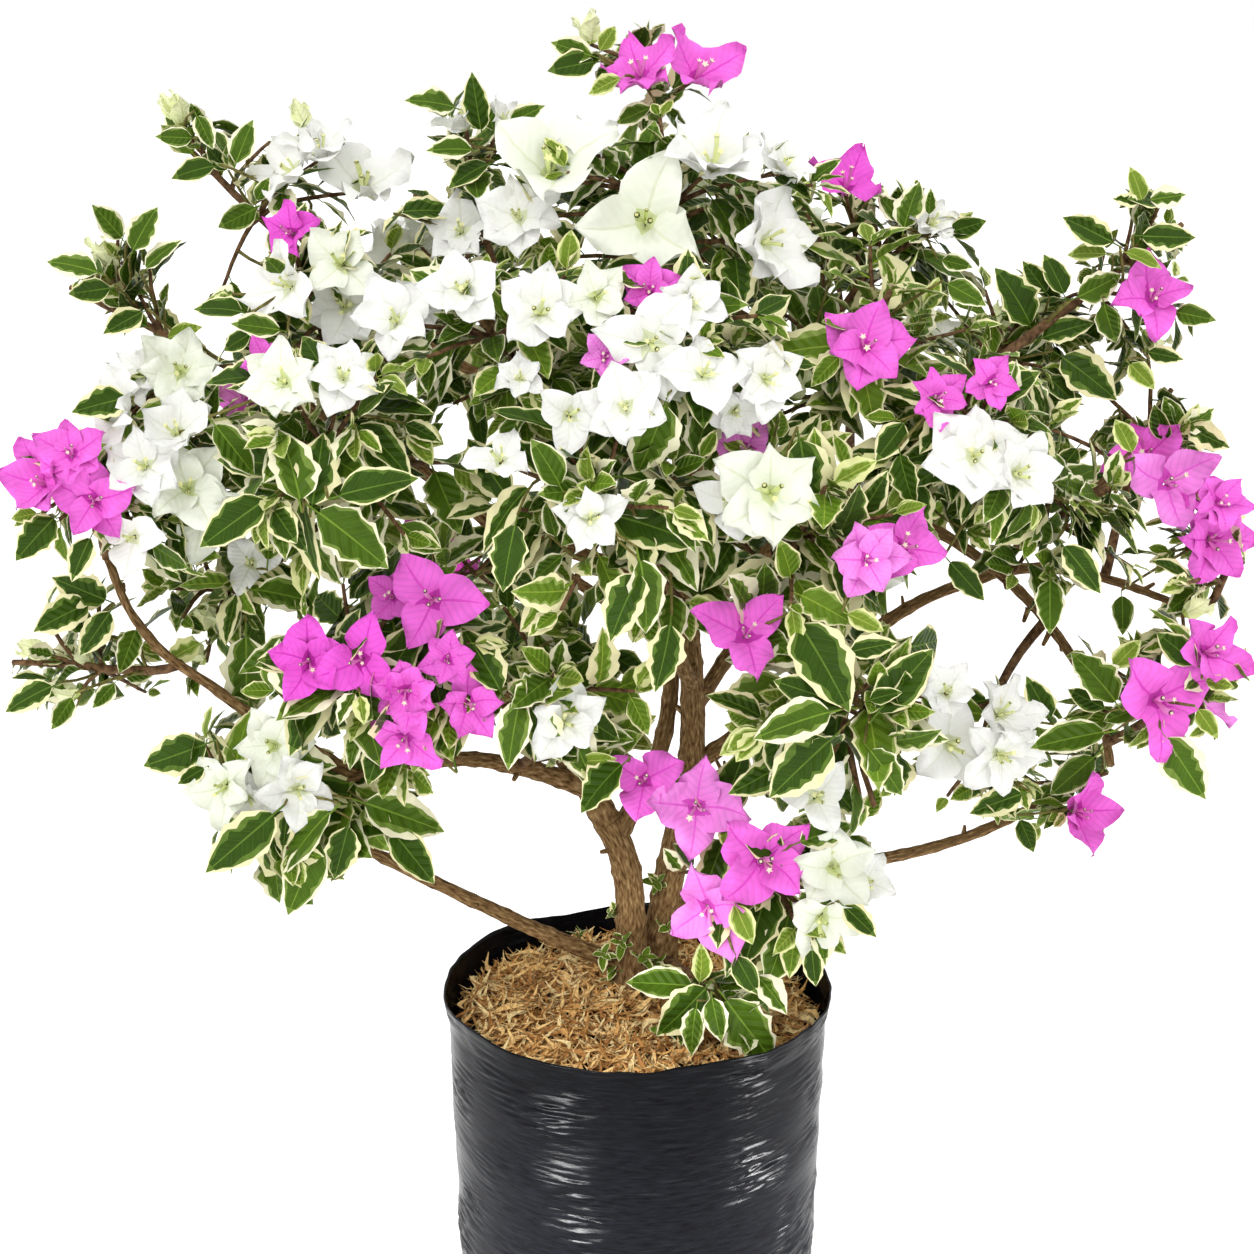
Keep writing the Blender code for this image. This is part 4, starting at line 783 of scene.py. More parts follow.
def mesh_object(name, verts, faces, kinds, materials, uvs=None):
    """A mesh object of triangles from arrays of corners, faces and material numbers."""
    mesh = bpy.data.meshes.new(name)
    mesh.vertices.add(len(verts))
    mesh.vertices.foreach_set("co", np.asarray(verts, np.float32).ravel())
    mesh.loops.add(faces.size)
    mesh.loops.foreach_set("vertex_index", np.asarray(faces, np.int32).ravel())
    mesh.polygons.add(len(faces))
    mesh.polygons.foreach_set("loop_start", np.arange(0, faces.size, 3, dtype=np.int32))
    mesh.polygons.foreach_set("material_index", np.asarray(kinds, np.int32))
    mesh.polygons.foreach_set("use_smooth", np.full(len(faces), True))
    for material in materials:
        mesh.materials.append(material)
    if uvs is not None:
        layer = mesh.uv_layers.new(name="UVMap")
        layer.data.foreach_set("uv", np.asarray(uvs, np.float32)[faces.ravel()].ravel())
    mesh.update(calc_edges=True)
    thing = bpy.data.objects.new(name, mesh)
    bpy.context.scene.collection.objects.link(thing)
    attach(thing, "root")
    return thing


class Pile:
    """Triangles of one kind of piece, gathered in batches and made into objects of a limited size."""

    def __init__(self, name, materials, slot, replaced=()):
        self.name = name
        self.materials = materials
        self.slot = slot
        self.replaced = replaced
        self.batches = []

    def add(self, verts, faces, kinds, uvs=None):
        """Add a batch: corners, triangles and the material number of each triangle."""
        self.batches.append((np.asarray(verts), np.asarray(faces), np.asarray(kinds), uvs))

    def make_objects(self):
        """Join the batches into as few objects as the limit on triangles allows."""
        total = sum(len(faces) for _, faces, _, _ in self.batches)
        pieces = max(1, math.ceil(total / PIECE_TRIANGLES))
        number = 1
        group = []
        done = 0
        for batch in self.batches:
            group.append(batch)
            done += len(batch[1])
            if done >= total * number / pieces - 0.5:
                self.join(group, self.name if pieces == 1 else f"{self.name}_{number}")
                number += 1
                group = []

    def join(self, group, name):
        """One object of a group of batches."""
        starts = np.cumsum([0] + [len(verts) for verts, _, _, _ in group])
        verts = np.concatenate([batch[0] for batch in group])
        faces = np.concatenate([batch[1] + start for batch, start in zip(group, starts)])
        kinds = np.concatenate([batch[2] for batch in group])
        uvs = np.concatenate([batch[3] for batch in group]) if group[0][3] is not None else None
        thing = mesh_object(name, verts, faces, kinds, self.materials, uvs)
        if self.replaced:
            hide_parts(*self.replaced)


def grid_faces(rows, columns, closed):
    """The triangles of a grid of corners, row after row, whose columns may close into a ring."""
    last = columns if closed else columns - 1
    row, column = np.meshgrid(np.arange(rows - 1), np.arange(last), indexing="ij")
    beside = (column + 1) % columns
    a = row * columns + column
    b = row * columns + beside
    c = (row + 1) * columns + beside
    d = (row + 1) * columns + column
    return np.concatenate([np.stack([a, b, c], -1).reshape(-1, 3), np.stack([a, c, d], -1).reshape(-1, 3)])


def frames_along(points):
    """For each point of a run its direction and two sides, turned as little as can be from one to the next."""
    steps = np.gradient(points, axis=0)
    along = steps / np.linalg.norm(steps, axis=1, keepdims=True)
    first = np.cross(along[0], (0.0, 0.0, 1.0) if abs(along[0][2]) < 0.9 else (1.0, 0.0, 0.0))
    side = first / np.linalg.norm(first)
    sides = []
    for heading in along:
        side = side - heading * side.dot(heading)
        side = side / np.linalg.norm(side)
        sides.append(side)
    sides = np.array(sides)
    return along, sides, np.cross(along, sides)


def tube_arrays(points, radii, corners):
    """Corners and triangles of a tube with closed ends. The radii may differ from corner to corner."""
    points = np.asarray(points, float)
    radii = np.asarray(radii, float)
    if radii.ndim == 1:
        radii = np.repeat(radii[:, None], corners, axis=1)
    along, side, up = frames_along(points)
    turn = np.arange(corners) * math.tau / corners
    ring = side[:, None, :] * np.cos(turn)[None, :, None] + up[:, None, :] * np.sin(turn)[None, :, None]
    verts = (points[:, None, :] + ring * radii[:, :, None]).reshape(-1, 3)
    ends = np.array([points[0], points[-1] + along[-1] * radii[-1].mean() * 0.5])
    rows = len(points)
    faces = grid_faces(rows, corners, True)
    lower = np.arange(corners)
    upper = (rows - 1) * corners + lower
    foot = np.stack([np.full(corners, len(verts)), (lower + 1) % corners, lower], -1)
    beside = (rows - 1) * corners + (lower + 1) % corners
    tip = np.stack([np.full(corners, len(verts) + 1), upper, beside], -1)
    return np.concatenate([verts, ends]), np.concatenate([faces, foot, tip])


# ---------------------------------------------------------------------------------------------------------
# The rule that the limbs and masses grow by, as in the source of the solids
# ---------------------------------------------------------------------------------------------------------

def direction(heading, rise):
    """The unit vector that points along a (heading, rise) pair."""
    level = math.cos(math.radians(rise))
    turn = math.radians(heading)
    return Vector((level * math.cos(turn), level * math.sin(turn), math.sin(math.radians(rise))))


def curve_weights(t):
    """How much a smooth curve takes, at a share of its run, of its start, of its pull there, of its end and of
    its pull there."""
    return 2 * t**3 - 3 * t**2 + 1, t**3 - 2 * t**2 + t, 3 * t**2 - 2 * t**3, t**3 - t**2


def sweep_between(start, leave, end, arrive, strength, stations):
    """Points along a smooth curve that leaves and arrives along two unit vectors."""
    pull = (end - start).length * strength
    points = []
    for index in range(stations):
        by_start, by_leave, by_end, by_arrive = curve_weights(index / (stations - 1))
        from_start = start * by_start + leave * pull * by_leave
        points.append(from_start + (end * by_end + arrive * pull * by_arrive))
    return points


class Branch:
    """A run of points with a radius at each, from foot to tip."""

    def __init__(self, points, radii):
        self.points = points
        self.radii = radii

    def at(self, share):
        """The point, the direction and the radius at a share of the points' run."""
        place = min(max(share, 0.0), 1.0) * (len(self.points) - 1)
        index = min(int(place), len(self.points) - 2)
        rest = place - index
        point = self.points[index].lerp(self.points[index + 1], rest)
        heading = (self.points[index + 1] - self.points[index]).normalized()
        radius = self.radii[index] * (1 - rest) + self.radii[index + 1] * rest
        return point, heading, radius

    def nearest_share(self, target, low, high):
        """The share between low and high whose point lies nearest to the target."""
        shares = [low + (high - low) * step / SHARE_STEPS for step in range(SHARE_STEPS + 1)]
        return min(shares, key=lambda share: (self.at(share)[0] - target).length)

    def cut_at(self, share):
        """The part of the branch up to a share of its points' run."""
        last = share * (len(self.points) - 1)
        whole = math.floor(last - 1e-6)
        end, _, radius = self.at(share)
        return Branch(self.points[:whole + 1] + [end], self.radii[:whole + 1] + [radius])

    def length(self):
        """The length of the run."""
        return sum((after - before).length for before, after in zip(self.points, self.points[1:]))


def kinked(points, length, size, shift):
    """The same points, pushed sideways by a soft noise that fades out at both ends."""
    last = len(points) - 1
    result = []
    for index, point in enumerate(points):
        fade = math.sin(math.pi * index / last)
        result.append(point + noise.noise_vector(point / length + shift) * size * fade)
    return result


def limb_branch(name, branches):
    """The run of one limb, worked out from its row and from the limb that carries it."""
    carrier, place, tip, leave, arrive, foot_radius, tip_radius, sweep = LIMBS[name]
    leave = direction(*leave)
    if carrier == "potting_mix":
        start = Vector((*place, MIX_TOP - STEM_SET))
    else:
        start, along, _ = branches[carrier].at(place)
        if place == 1.0:
            leave = along
    points = sweep_between(start, leave, Vector(tip), direction(*arrive), sweep, LIMB_STATIONS)
    radii = []
    for index, point in enumerate(points):
        share = index / (LIMB_STATIONS - 1)
        radius = foot_radius + (tip_radius - foot_radius) * share
        if carrier == "potting_mix":
            radius += STEM_FLARE * math.exp(-(point.z - start.z) / STEM_FLARE_LENGTH)
        radii.append(radius)
    by_length, by_first, by_last = KINK_SEED
    shift = Vector((len(name) * by_length, ord(name[0]) * by_first, ord(name[-1]) * by_last))
    return Branch(kinked(points, KINK_LENGTH, LIMB_KINK, shift), radii)


class Cell:
    """The space of one mass: its ellipsoid, cut off by a plane towards each neighbour."""

    def __init__(self, name):
        _, _, middle, reach, *_ = MASSES[name]
        self.middle = Vector(middle)
        self.reach = Vector(reach)
        self.mean_reach = sum(reach) / 3
        self.planes = []
        for other, row in MASSES.items():
            step = Vector(row[2]) - self.middle
            if other == name or step.length > max(reach) + max(row[3]):
                continue
            other_reach = sum(row[3]) / 3
            split = (step.length_squared + self.mean_reach**2 - other_reach**2) / (2 * step.length)
            self.planes.append((step.normalized(), split - CELL_GAP / 2))

    def scaled(self, step):
        """A step in units of the reach along each axis."""
        return Vector(step[axis] / self.reach[axis] for axis in range(3))

    def rim_point(self, heading, share):
        """The point at a share of the way from the middle to the rim of the space."""
        step = Vector(heading[axis] * self.reach[axis] for axis in range(3)) * share
        for normal, split in self.planes:
            depth = step.dot(normal)
            if depth > split * share > 0:
                step *= split * share / depth
        return self.middle + step


def spin(axis, lean, turn):
    """The unit vector that leans away from an axis by one angle, turned about it by another, in radians."""
    ring = axis.to_track_quat("Z", "Y")
    return ring @ Vector((math.sin(lean) * math.cos(turn), math.sin(lean) * math.sin(turn), math.cos(lean)))


def tapered(points, radii):
    """A branch whose radius runs evenly from foot to tip."""
    foot, tip = radii
    last = len(points) - 1
    return Branch(points, [foot + (tip - foot) * index / last for index in range(last + 1)])


def twig_run(points, radii, seed):
    """A twig through points, its radius even from foot to tip, with small kinks at its leaf joints."""
    return tapered(kinked(points, TWIG_KINK_LENGTH, TWIG_KINK, Vector((seed, 0, 0))), radii)


def mass_stem(name, branches, cell):
    """The run of a mass's own stem, from inside the limb that carries it towards the far rim of its space."""
    carrier, share = MASSES[name][:2]
    foot, along, _ = branches[carrier].at(share)
    towards = cell.middle - foot
    outward = ((cell.middle - CROWN_HEART).normalized() + towards.normalized()).normalized()
    leave = along
    if share < 1.0:
        leave = (towards - along * towards.dot(along) * STEM_TURN).normalized()
    end = cell.rim_point(outward, RIM_SHARE * 0.8)
    points = sweep_between(foot, leave, end, outward, STEM_SWEEP, STEM_STATIONS)
    return twig_run(points, STEM_RADII, len(name))


def side_twig(carriers, target, radii, stations, seed, shares=(TWIG_INNERMOST, TWIG_OUTERMOST)):
    """A twig that leaves the nearest of its carriers a little before the point nearest to its target."""
    choices = []
    for carrier in carriers:
        share = carrier.nearest_share(target, *shares)
        choices.append(((carrier.at(share)[0] - target).length, share, carrier))
    _, share, carrier = min(choices, key=lambda choice: choice[0])
    start, along, _ = carrier.at(max(shares[0], share - TWIG_BACKSET))
    ahead = (target - start).normalized()
    leave = (ahead + along * TWIG_FOLLOW).normalized()
    arrive = (ahead - along * TWIG_TURN_OUT).normalized()
    points = sweep_between(start, leave, target, arrive, TWIG_SWEEP, stations)
    return twig_run(points, radii, seed)


# ---------------------------------------------------------------------------------------------------------
# What the camera saw
# ---------------------------------------------------------------------------------------------------------

def sight_line(pixel):
    """The unit vector from the camera through a pixel of the picture."""
    across = (pixel[0] - PICTURE_SIZE / 2) / FOCAL_PIXELS
    rise = (PICTURE_SIZE / 2 - pixel[1]) / FOCAL_PIXELS
    return (CAMERA_AHEAD + Vector((across, 0, 0)) + CAMERA_UP * rise).normalized()


def turned_from_camera(right, up):
    """The unit vector that faces the camera, turned to the right and up in the picture by so much."""
    return Vector((right, 0, 0)) + CAMERA_UP * up - CAMERA_AHEAD * math.sqrt(max(0.0, 1 - right**2 - up**2))


def picture_pixel(point):
    """The pixel of the picture at which a point shows."""
    step = point - CAMERA_PLACE
    ahead = step.y * math.cos(CAMERA_DIP) - step.z * math.sin(CAMERA_DIP)
    rise = step.y * math.sin(CAMERA_DIP) + step.z * math.cos(CAMERA_DIP)
    return PICTURE_SIZE / 2 + FOCAL_PIXELS * step.x / ahead, PICTURE_SIZE / 2 - FOCAL_PIXELS * rise / ahead


def sky_cells():
    """For each cell of a grid over the picture, whether it lies outside the crown's outline or in a gap."""
    middles = np.arange(0, PICTURE_SIZE, SKY_CELL) + SKY_CELL / 2
    across, down = np.meshgrid(middles, middles, indexing="ij")
    inside = np.zeros(across.shape, bool)
    for (x, y), (next_x, next_y) in zip(CROWN_OUTLINE, CROWN_OUTLINE[1:] + CROWN_OUTLINE[:1]):
        if y != next_y:
            crossing = x + (next_x - x) * (down - y) / (next_y - y)
            inside ^= ((y > down) != (next_y > down)) & (across < crossing)
    for x, y, reach in CROWN_HOLES:
        inside &= np.hypot(across - x, down - y) > reach
    return ~inside


def place_in_crown(pixel, cells, depth_share):
    """The mass that stands at a pixel, and the point there, a share of the way from its middle to its
    front."""
    line = sight_line(pixel)
    choices = []
    for name, cell in cells.items():
        if name.startswith("back"):
            continue
        start = cell.scaled(CAMERA_PLACE - cell.middle)
        step = cell.scaled(line)
        nearest = -start.dot(step) / step.length_squared
        miss = (start + step * nearest).length
        half = math.sqrt(max(0.0, 1.0 - miss * miss)) / step.length
        missed = miss > 0.88
        choices.append((missed, miss if missed else nearest - half, name, nearest - half * depth_share))
    _, _, name, distance = min(choices)
    return name, CAMERA_PLACE + line * distance


# ---------------------------------------------------------------------------------------------------------
# Leaves, bracts and flowers, one unit long, to be set on twigs
# ---------------------------------------------------------------------------------------------------------

def oval_half_width(share, foot_power, tip_power):
    """The half width of a pointed oval at a share of its length, as a share of its greatest. A power under 1
    rounds an end off, and one over 1 draws it out to a point."""
    widest = foot_power / (foot_power + tip_power)
    greatest = widest**foot_power * (1 - widest) ** tip_power
    return max(share, 0.0) ** foot_power * max(1 - share, 0.0) ** tip_power / greatest


def leaf_template(chance, rows, pattern):
    """A variegated leaf: an irregular green blade and rib, a paler band and a cream margin, on a petiole.
    It lies along +Y with its face to +Z. Kinds: 0 margin, 1 blade, 2 rib, 3 band."""
    _, green_share, wander, lobe, band = pattern
    verts = []
    narrow = chance.uniform(0.86, 1.1)
    phase = chance.uniform(0, math.tau)
    twist = chance.uniform(-0.3, 0.3)
    notch = chance.choice((0.05, 0.09, 0.14))
    lobes = chance.uniform(3.2, 4.2)
    shares = [green_share, green_share]
    for row in range(rows):
        share = 0.015 + 0.965 * row / rows
        half = LEAF_HALF_WIDTH * narrow * oval_half_width(share, 0.66, 0.96)
        greens = []
        rims = []
        for side in range(2):
            wave = math.sin(math.tau * lobes * share + phase + 2.0 * side)
            shares[side] += chance.uniform(-wander, wander) + (green_share - shares[side]) * 0.3
            tooth = (lobes * share + phase / math.tau + 0.5 * side) % 1.0
            greens.append(min(0.95, max(0.22, shares[side] + lobe * (2 * tooth - 1))) * (1.0 - 0.08 * share))
            rims.append(half * (1 + notch * wave + chance.uniform(-0.02, 0.02)))
        rib = min(LEAF_RIB * (1 - 0.6 * share), half * 0.2)
        inner = [green - band * chance.uniform(0.15, 1.5) * min(1.0, 1.3 * green) for green in greens]
        left = [-rims[0], -greens[0] * rims[0], -max(inner[0] * rims[0], rib * 1.5), -rib]
        right = [rib, max(inner[1] * rims[1], rib * 1.5), greens[1] * rims[1], rims[1]]
        across = left + right
        for x in across:
            edge = abs(x) / LEAF_HALF_WIDTH
            lift = LEAF_FOLD * abs(x) * (1 - 0.35 * share)
            lift += 0.040 * math.sin(10 * share + phase + (2.0 if x > 0 else 0.0)) * edge**2
            lift += twist * x * share
            verts.append((x, share, lift))
    columns = 8
    faces = grid_faces(rows, columns, False)
    kinds = np.tile((0, 3, 1, 2, 1, 3, 0), (rows - 1) * 2)
    tip = len(verts)
    verts.append((0.0, 1.0, 0.0))
    last = (rows - 1) * columns
    tip_faces = [(last + column, last + column + 1, tip) for column in range(columns - 1)]
    foot = len(verts)
    stalk = 0.016
    for y in (-PETIOLE, 0.03):
        for corner in range(3):
            turn = math.tau * corner / 3 + math.pi / 2
            verts.append((stalk * math.cos(turn), y, stalk * math.sin(turn) - stalk))
    stalk_faces = grid_faces(2, 3, True) + foot
    faces = np.concatenate([faces, np.array(tip_faces), stalk_faces])
    kinds = np.concatenate([kinds, (0, 0, 3, 2, 3, 0, 0), np.full(len(stalk_faces), 2)])
    verts = np.array(verts)
    uvs = verts[:, :2].copy()
    droop = chance.uniform(0.05, 0.34)
    verts[:, 2] -= droop * np.maximum(verts[:, 1], 0) ** 2
    return verts, faces, kinds, uvs


def leaf_templates(chance, cuts):
    """Leaves cut into so many rows, so many for each ten, in the patterns' shares."""
    rows, count = cuts
    patterns = [pattern for pattern in LEAF_PATTERNS for _ in range(pattern[0])]
    return [leaf_template(chance, rows, patterns[index * len(patterns) // count]) for index in range(count)]


def bract_run(opening):
    """A bract's midline as (share, bend, out, rise) rows, for the angles that it starts and ends at."""
    begin, end = (math.radians(angle) for angle in opening)
    step = 1.0 / (BRACT_ROWS - 1)
    run = []
    out = rise = 0.0
    for row in range(BRACT_ROWS):
        share = row * step
        bend = begin + (end - begin) * share**BRACT_BEND_POWER
        if row:
            out += math.sin(bend) * step
            rise += math.cos(bend) * step
        run.append((share, bend, out, rise))
    return run


def bract_template(chance, opening, half_width):
    """A papery bract, its foot at the origin: it stands along +Z and opens towards +Y.
    Kinds: 0 bract, 1 rib, 2 throat."""
    phase = chance.uniform(0, math.tau)
    ruffle = chance.uniform(0.07, 0.15)
    cup = chance.uniform(0.02, 0.34)
    skew = chance.uniform(-0.08, 0.08)
    half_width *= chance.uniform(0.9, 1.12)
    verts = []
    uvs = []
    for share, bend, out, rise in bract_run(opening):
        half = half_width * oval_half_width(share * 0.97 + 0.02, 0.62, 0.92) * (1 - BRACT_POINT * share**4)
        for column in BRACT_COLUMNS:
            x = column * half + skew * math.sin(math.pi * share)
            inward = cup * half * column**2 * (1 - share * 0.9)
            inward += ruffle * math.sin(9.0 * share + phase + 2.2 * column) * column**2 * (0.4 + share)
            inward += 0.012 * math.cos(math.tau * (4.2 * share - 1.3 * abs(column))) * (1 - abs(column))
            inward += 0.08 * (1 - abs(column)) ** 3 * -math.sin(math.pi * share)
            y = out - math.cos(bend) * inward
            z = rise + math.sin(bend) * inward
            verts.append((x, y, z))
            uvs.append((column * half, share))
    columns = len(BRACT_COLUMNS)
    faces = grid_faces(BRACT_ROWS, columns, False)
    kinds = []
    for face in faces:
        column = min(int(index) % columns for index in face)
        row = min(int(index) // columns for index in face)
        kind = 1 if column == columns // 2 - 1 and row < BRACT_ROWS - 2 else 0
        kinds.append(2 if row < 1 else kind)
    return np.array(verts), faces, np.array(kinds), np.array(uvs)


def bract_templates(chance, openings, variants, half_width):
    """So many bracts for each opening, one opening after another."""
    return [bract_template(chance, opening, half_width) for opening in openings for _ in range(variants)]


def flower_template(opened):
    """A slender flower tube along +Z, one unit long, with a five-lobed star at its mouth, or closed like a
    club. Kinds: 3 tube, 4 star."""
    heights = (0.0, 0.3, 0.7, 0.94)
    radii = (0.050, 0.042, 0.056, 0.066) if opened else (0.052, 0.048, 0.078, 0.074)
    bows = (0.0, 0.02, 0.04, 0.0)
    verts = []
    for height, radius, bow in zip(heights, radii, bows):
        for corner in range(6):
            turn = math.tau * corner / 6
            verts.append((radius * math.cos(turn) + bow, radius * math.sin(turn), height))
    faces = grid_faces(len(heights), 6, True)
    kinds = [3] * len(faces)
    middle = len(verts)
    verts.append((0.0, 0.0, 0.96))
    for corner in range(10):
        turn = math.tau * corner / 10
        radius = STAR_RADII[corner % 2] if opened else 0.04
        verts.append((radius * math.cos(turn), radius * math.sin(turn), 1.0 if corner % 2 else 0.95))
    star = [(middle, middle + 1 + corner, middle + 1 + (corner + 1) % 10) for corner in range(10)]
    kinds += [4] * len(star)
    verts = np.array(verts)
    return verts, np.concatenate([faces, np.array(star)]), np.array(kinds), verts[:, :2].copy()


def placed(template, origins, across, along, up, sizes):
    """Many copies of a template, each with its own origin, axes and size: corners by copy."""
    verts = template[0]
    moved = (
        across[:, None, :] * verts[None, :, 0, None]
        + along[:, None, :] * verts[None, :, 1, None]
        + up[:, None, :] * verts[None, :, 2, None]
    )
    return origins[:, None, :] + moved * sizes[:, None, None]


def add_copies(pile, template, corners, kind_maps):
    """Add the copies of a template to a pile, with the material of each kind of face in each copy."""
    _, faces, kinds, uvs = template
    count, size, _ = corners.shape
    all_faces = (faces[None] + (np.arange(count) * size)[:, None, None]).reshape(-1, 3)
    pile.add(corners.reshape(-1, 3), all_faces, kind_maps[:, kinds].reshape(-1), np.tile(uvs, (count, 1)))


# ---------------------------------------------------------------------------------------------------------
# The crown
# ---------------------------------------------------------------------------------------------------------

class Bloom:
    """Where a bloom or bud stands, the way it faces, and what it is like."""

    def __init__(self, place, facing, colour, chance, span=0.0, side_on=False):
        self.place = place
        self.facing = facing
        self.colour = colour
        self.cleared_along = facing
        self.bud = span == 0.0
        self.turn = chance.uniform(0, math.tau)
        self.openness = chance.choice((2, 3) if side_on else (0, 1, 2))
        self.bracts = 3 if self.bud else chance.choice(BRACT_COUNTS)
        _, _, reach, _ = bract_run(BRACT_OPENINGS[self.openness])[-1]
        self.size = BUD_LENGTH if self.bud else span / reach / SPREADS[self.bracts > 3]
        self.cover = self.size * reach * BLOOM_COVER


class Crown:
    """Everything that grows from the limbs: twigs, leaves and blooms."""

    def __init__(self, branches):
        self.branches = branches
        self.cells = {name: Cell(name) for name in MASSES}
        self.blooms = {name: [] for name in MASSES}
        self.rim_twigs = {name: [] for name in MASSES}
        self.front_leaves = {name: [] for name in MASSES}
        self.twigs = []
        self.leaves = []
        self.sky = sky_cells()
        self.read_picture()
        self.fill_far_sides()

    def read_picture(self):
        """Share out the blooms, buds, twigs and leaves that the picture shows among the masses."""
        chance = random.Random("picture")
        groups = ((MAGENTA_BLOOMS, "magenta"), (WHITE_BLOOMS, "white"), (HALF_HIDDEN_BLOOMS, "magenta"))
        for rows, colour in groups:
            for x, y, span, right, up in rows:
                line = sight_line((x, y))
                name, place = place_in_crown((x, y), self.cells, BLOOM_DEPTH_SHARE)
                place = self.clear_place(place, line)
                facing = turned_from_camera(right, up)
                facing = (facing + Vector(chance.uniform(-1, 1) for _ in range(3)) * 0.12).normalized()
                width = span * (place - CAMERA_PLACE).length / FOCAL_PIXELS
                side_on = math.hypot(right, up) > SIDE_ON
                bloom = Bloom(place, facing, self.shade(colour, chance), chance, width, side_on)
                bloom.cleared_along = -line
                front = CAD_BOX[0][1] - BOX_ALLOWANCE + bloom.size * BLOOM_FORE
                bloom.place = place + line * max(0.0, (front - place.y) / line.y)
                self.blooms[name].append(bloom)
        for pixel in BUDS:
            name, place = place_in_crown(pixel, self.cells, 0.0)
            outward = (place - CROWN_HEART).normalized()
            facing = outward + Vector((0, 0, 0.8)) + Vector(chance.uniform(-1, 1) for _ in range(3)) * 0.4
            self.blooms[name].append(Bloom(place, facing.normalized(), "bud", chance))
        for pixel in RIM_TWIGS:
            name, place = place_in_crown(pixel, self.cells, 0.0)
            self.rim_twigs[name].append(place)
        for x, y, foot_x, foot_y in FRONT_LEAVES:
            depth_share = chance.uniform(0.75, 0.95)
            name, foot = place_in_crown((foot_x, foot_y), self.cells, depth_share)
            distance = (foot - CAMERA_PLACE).length
            length = math.hypot(x - foot_x, y - foot_y) / FOCAL_PIXELS * distance
            distance -= length * chance.uniform(-0.25, 0.45)
            self.front_leaves[name].append((foot, CAMERA_PLACE + sight_line((x, y)) * distance))

    def in_sky(self, point):
        """Whether a point would show where the picture shows open sky."""
        across, down = (int(part // SKY_CELL) for part in picture_pixel(point))
        columns, rows = self.sky.shape
        return not (0 <= across < columns and 0 <= down < rows) or bool(self.sky[across, down])

    def clear_place(self, place, line):
        """The first place, from one and on back along a line, that lies clear of the blooms so far."""
        taken = [bloom.place for group in self.blooms.values() for bloom in group]
        for _ in range(BLOOM_STEPS_BACK):
            if all((place - other).length > BLOOM_APART for other in taken):
                break
            place = place + line * BLOOM_STEP
        return place

    def shade(self, colour, chance):
        """One of the shades of a colour."""
        if colour == "magenta":
            return chance.choice(("magenta", "magenta", "pink", "purple"))
        return chance.choice(("white", "white", "white", "cream"))

    def fill_far_sides(self):
        """Blooms on the sides and the back, which the picture doesn't show."""
        for name, cell in self.cells.items():
            chance = random.Random(name + "_far")
            outward = (cell.middle - CROWN_HEART).normalized()
            part = "back" if name.startswith("back") else "side"
            colour = "magenta" if chance.random() < FAR_MAGENTA else "white"
            for index in range(FAR_BLOOMS[part]):
                lean = math.radians(chance.uniform(*FAR_LEANS))
                heading = spin(outward, lean, GOLDEN_ANGLE * index + len(name))
                if heading.y < FAR_DEPTHS[part]:
                    continue
                place = cell.rim_point(heading, 0.8)
                facing = (heading + Vector((0, 0, 0.25)) + outward * 0.5).normalized()
                span = chance.uniform(*BLOOM_SPANS)
                turns = [math.tau * corner / RIM_TESTS for corner in range(RIM_TESTS)]
                if any(self.in_sky(place + spin(facing, math.pi / 2, turn) * span / 2) for turn in turns):
                    continue
                self.blooms[name].append(Bloom(place, facing, self.shade(colour, chance), chance, span))

    def grow(self):
        """Grow every mass."""
        self.note_blooms()
        for name in MASSES:
            self.grow_mass(name)
        for limb, share, heading in SPROUTS:
            self.add_sprout(limb, share, heading)

    def note_blooms(self):
        """Arrays of all open blooms, for leaves to keep clear of their faces."""
        open_blooms = [bloom for group in self.blooms.values() for bloom in group if not bloom.bud]
        self.bloom_places = np.array([bloom.place for bloom in open_blooms])
        self.bloom_facings = np.array([bloom.cleared_along for bloom in open_blooms])
        self.bloom_covers = np.array([bloom.cover for bloom in open_blooms])

    def hides_bloom(self, point):
        """Whether a point stands in front of a bloom's face."""
        steps = np.array(point) - self.bloom_places
        depth = (steps * self.bloom_facings).sum(1)
        aside = np.linalg.norm(steps - depth[:, None] * self.bloom_facings, axis=1)
        near, far = BLOOM_VIEW
        return bool(((depth > near) & (depth < far) & (aside < self.bloom_covers)).any())

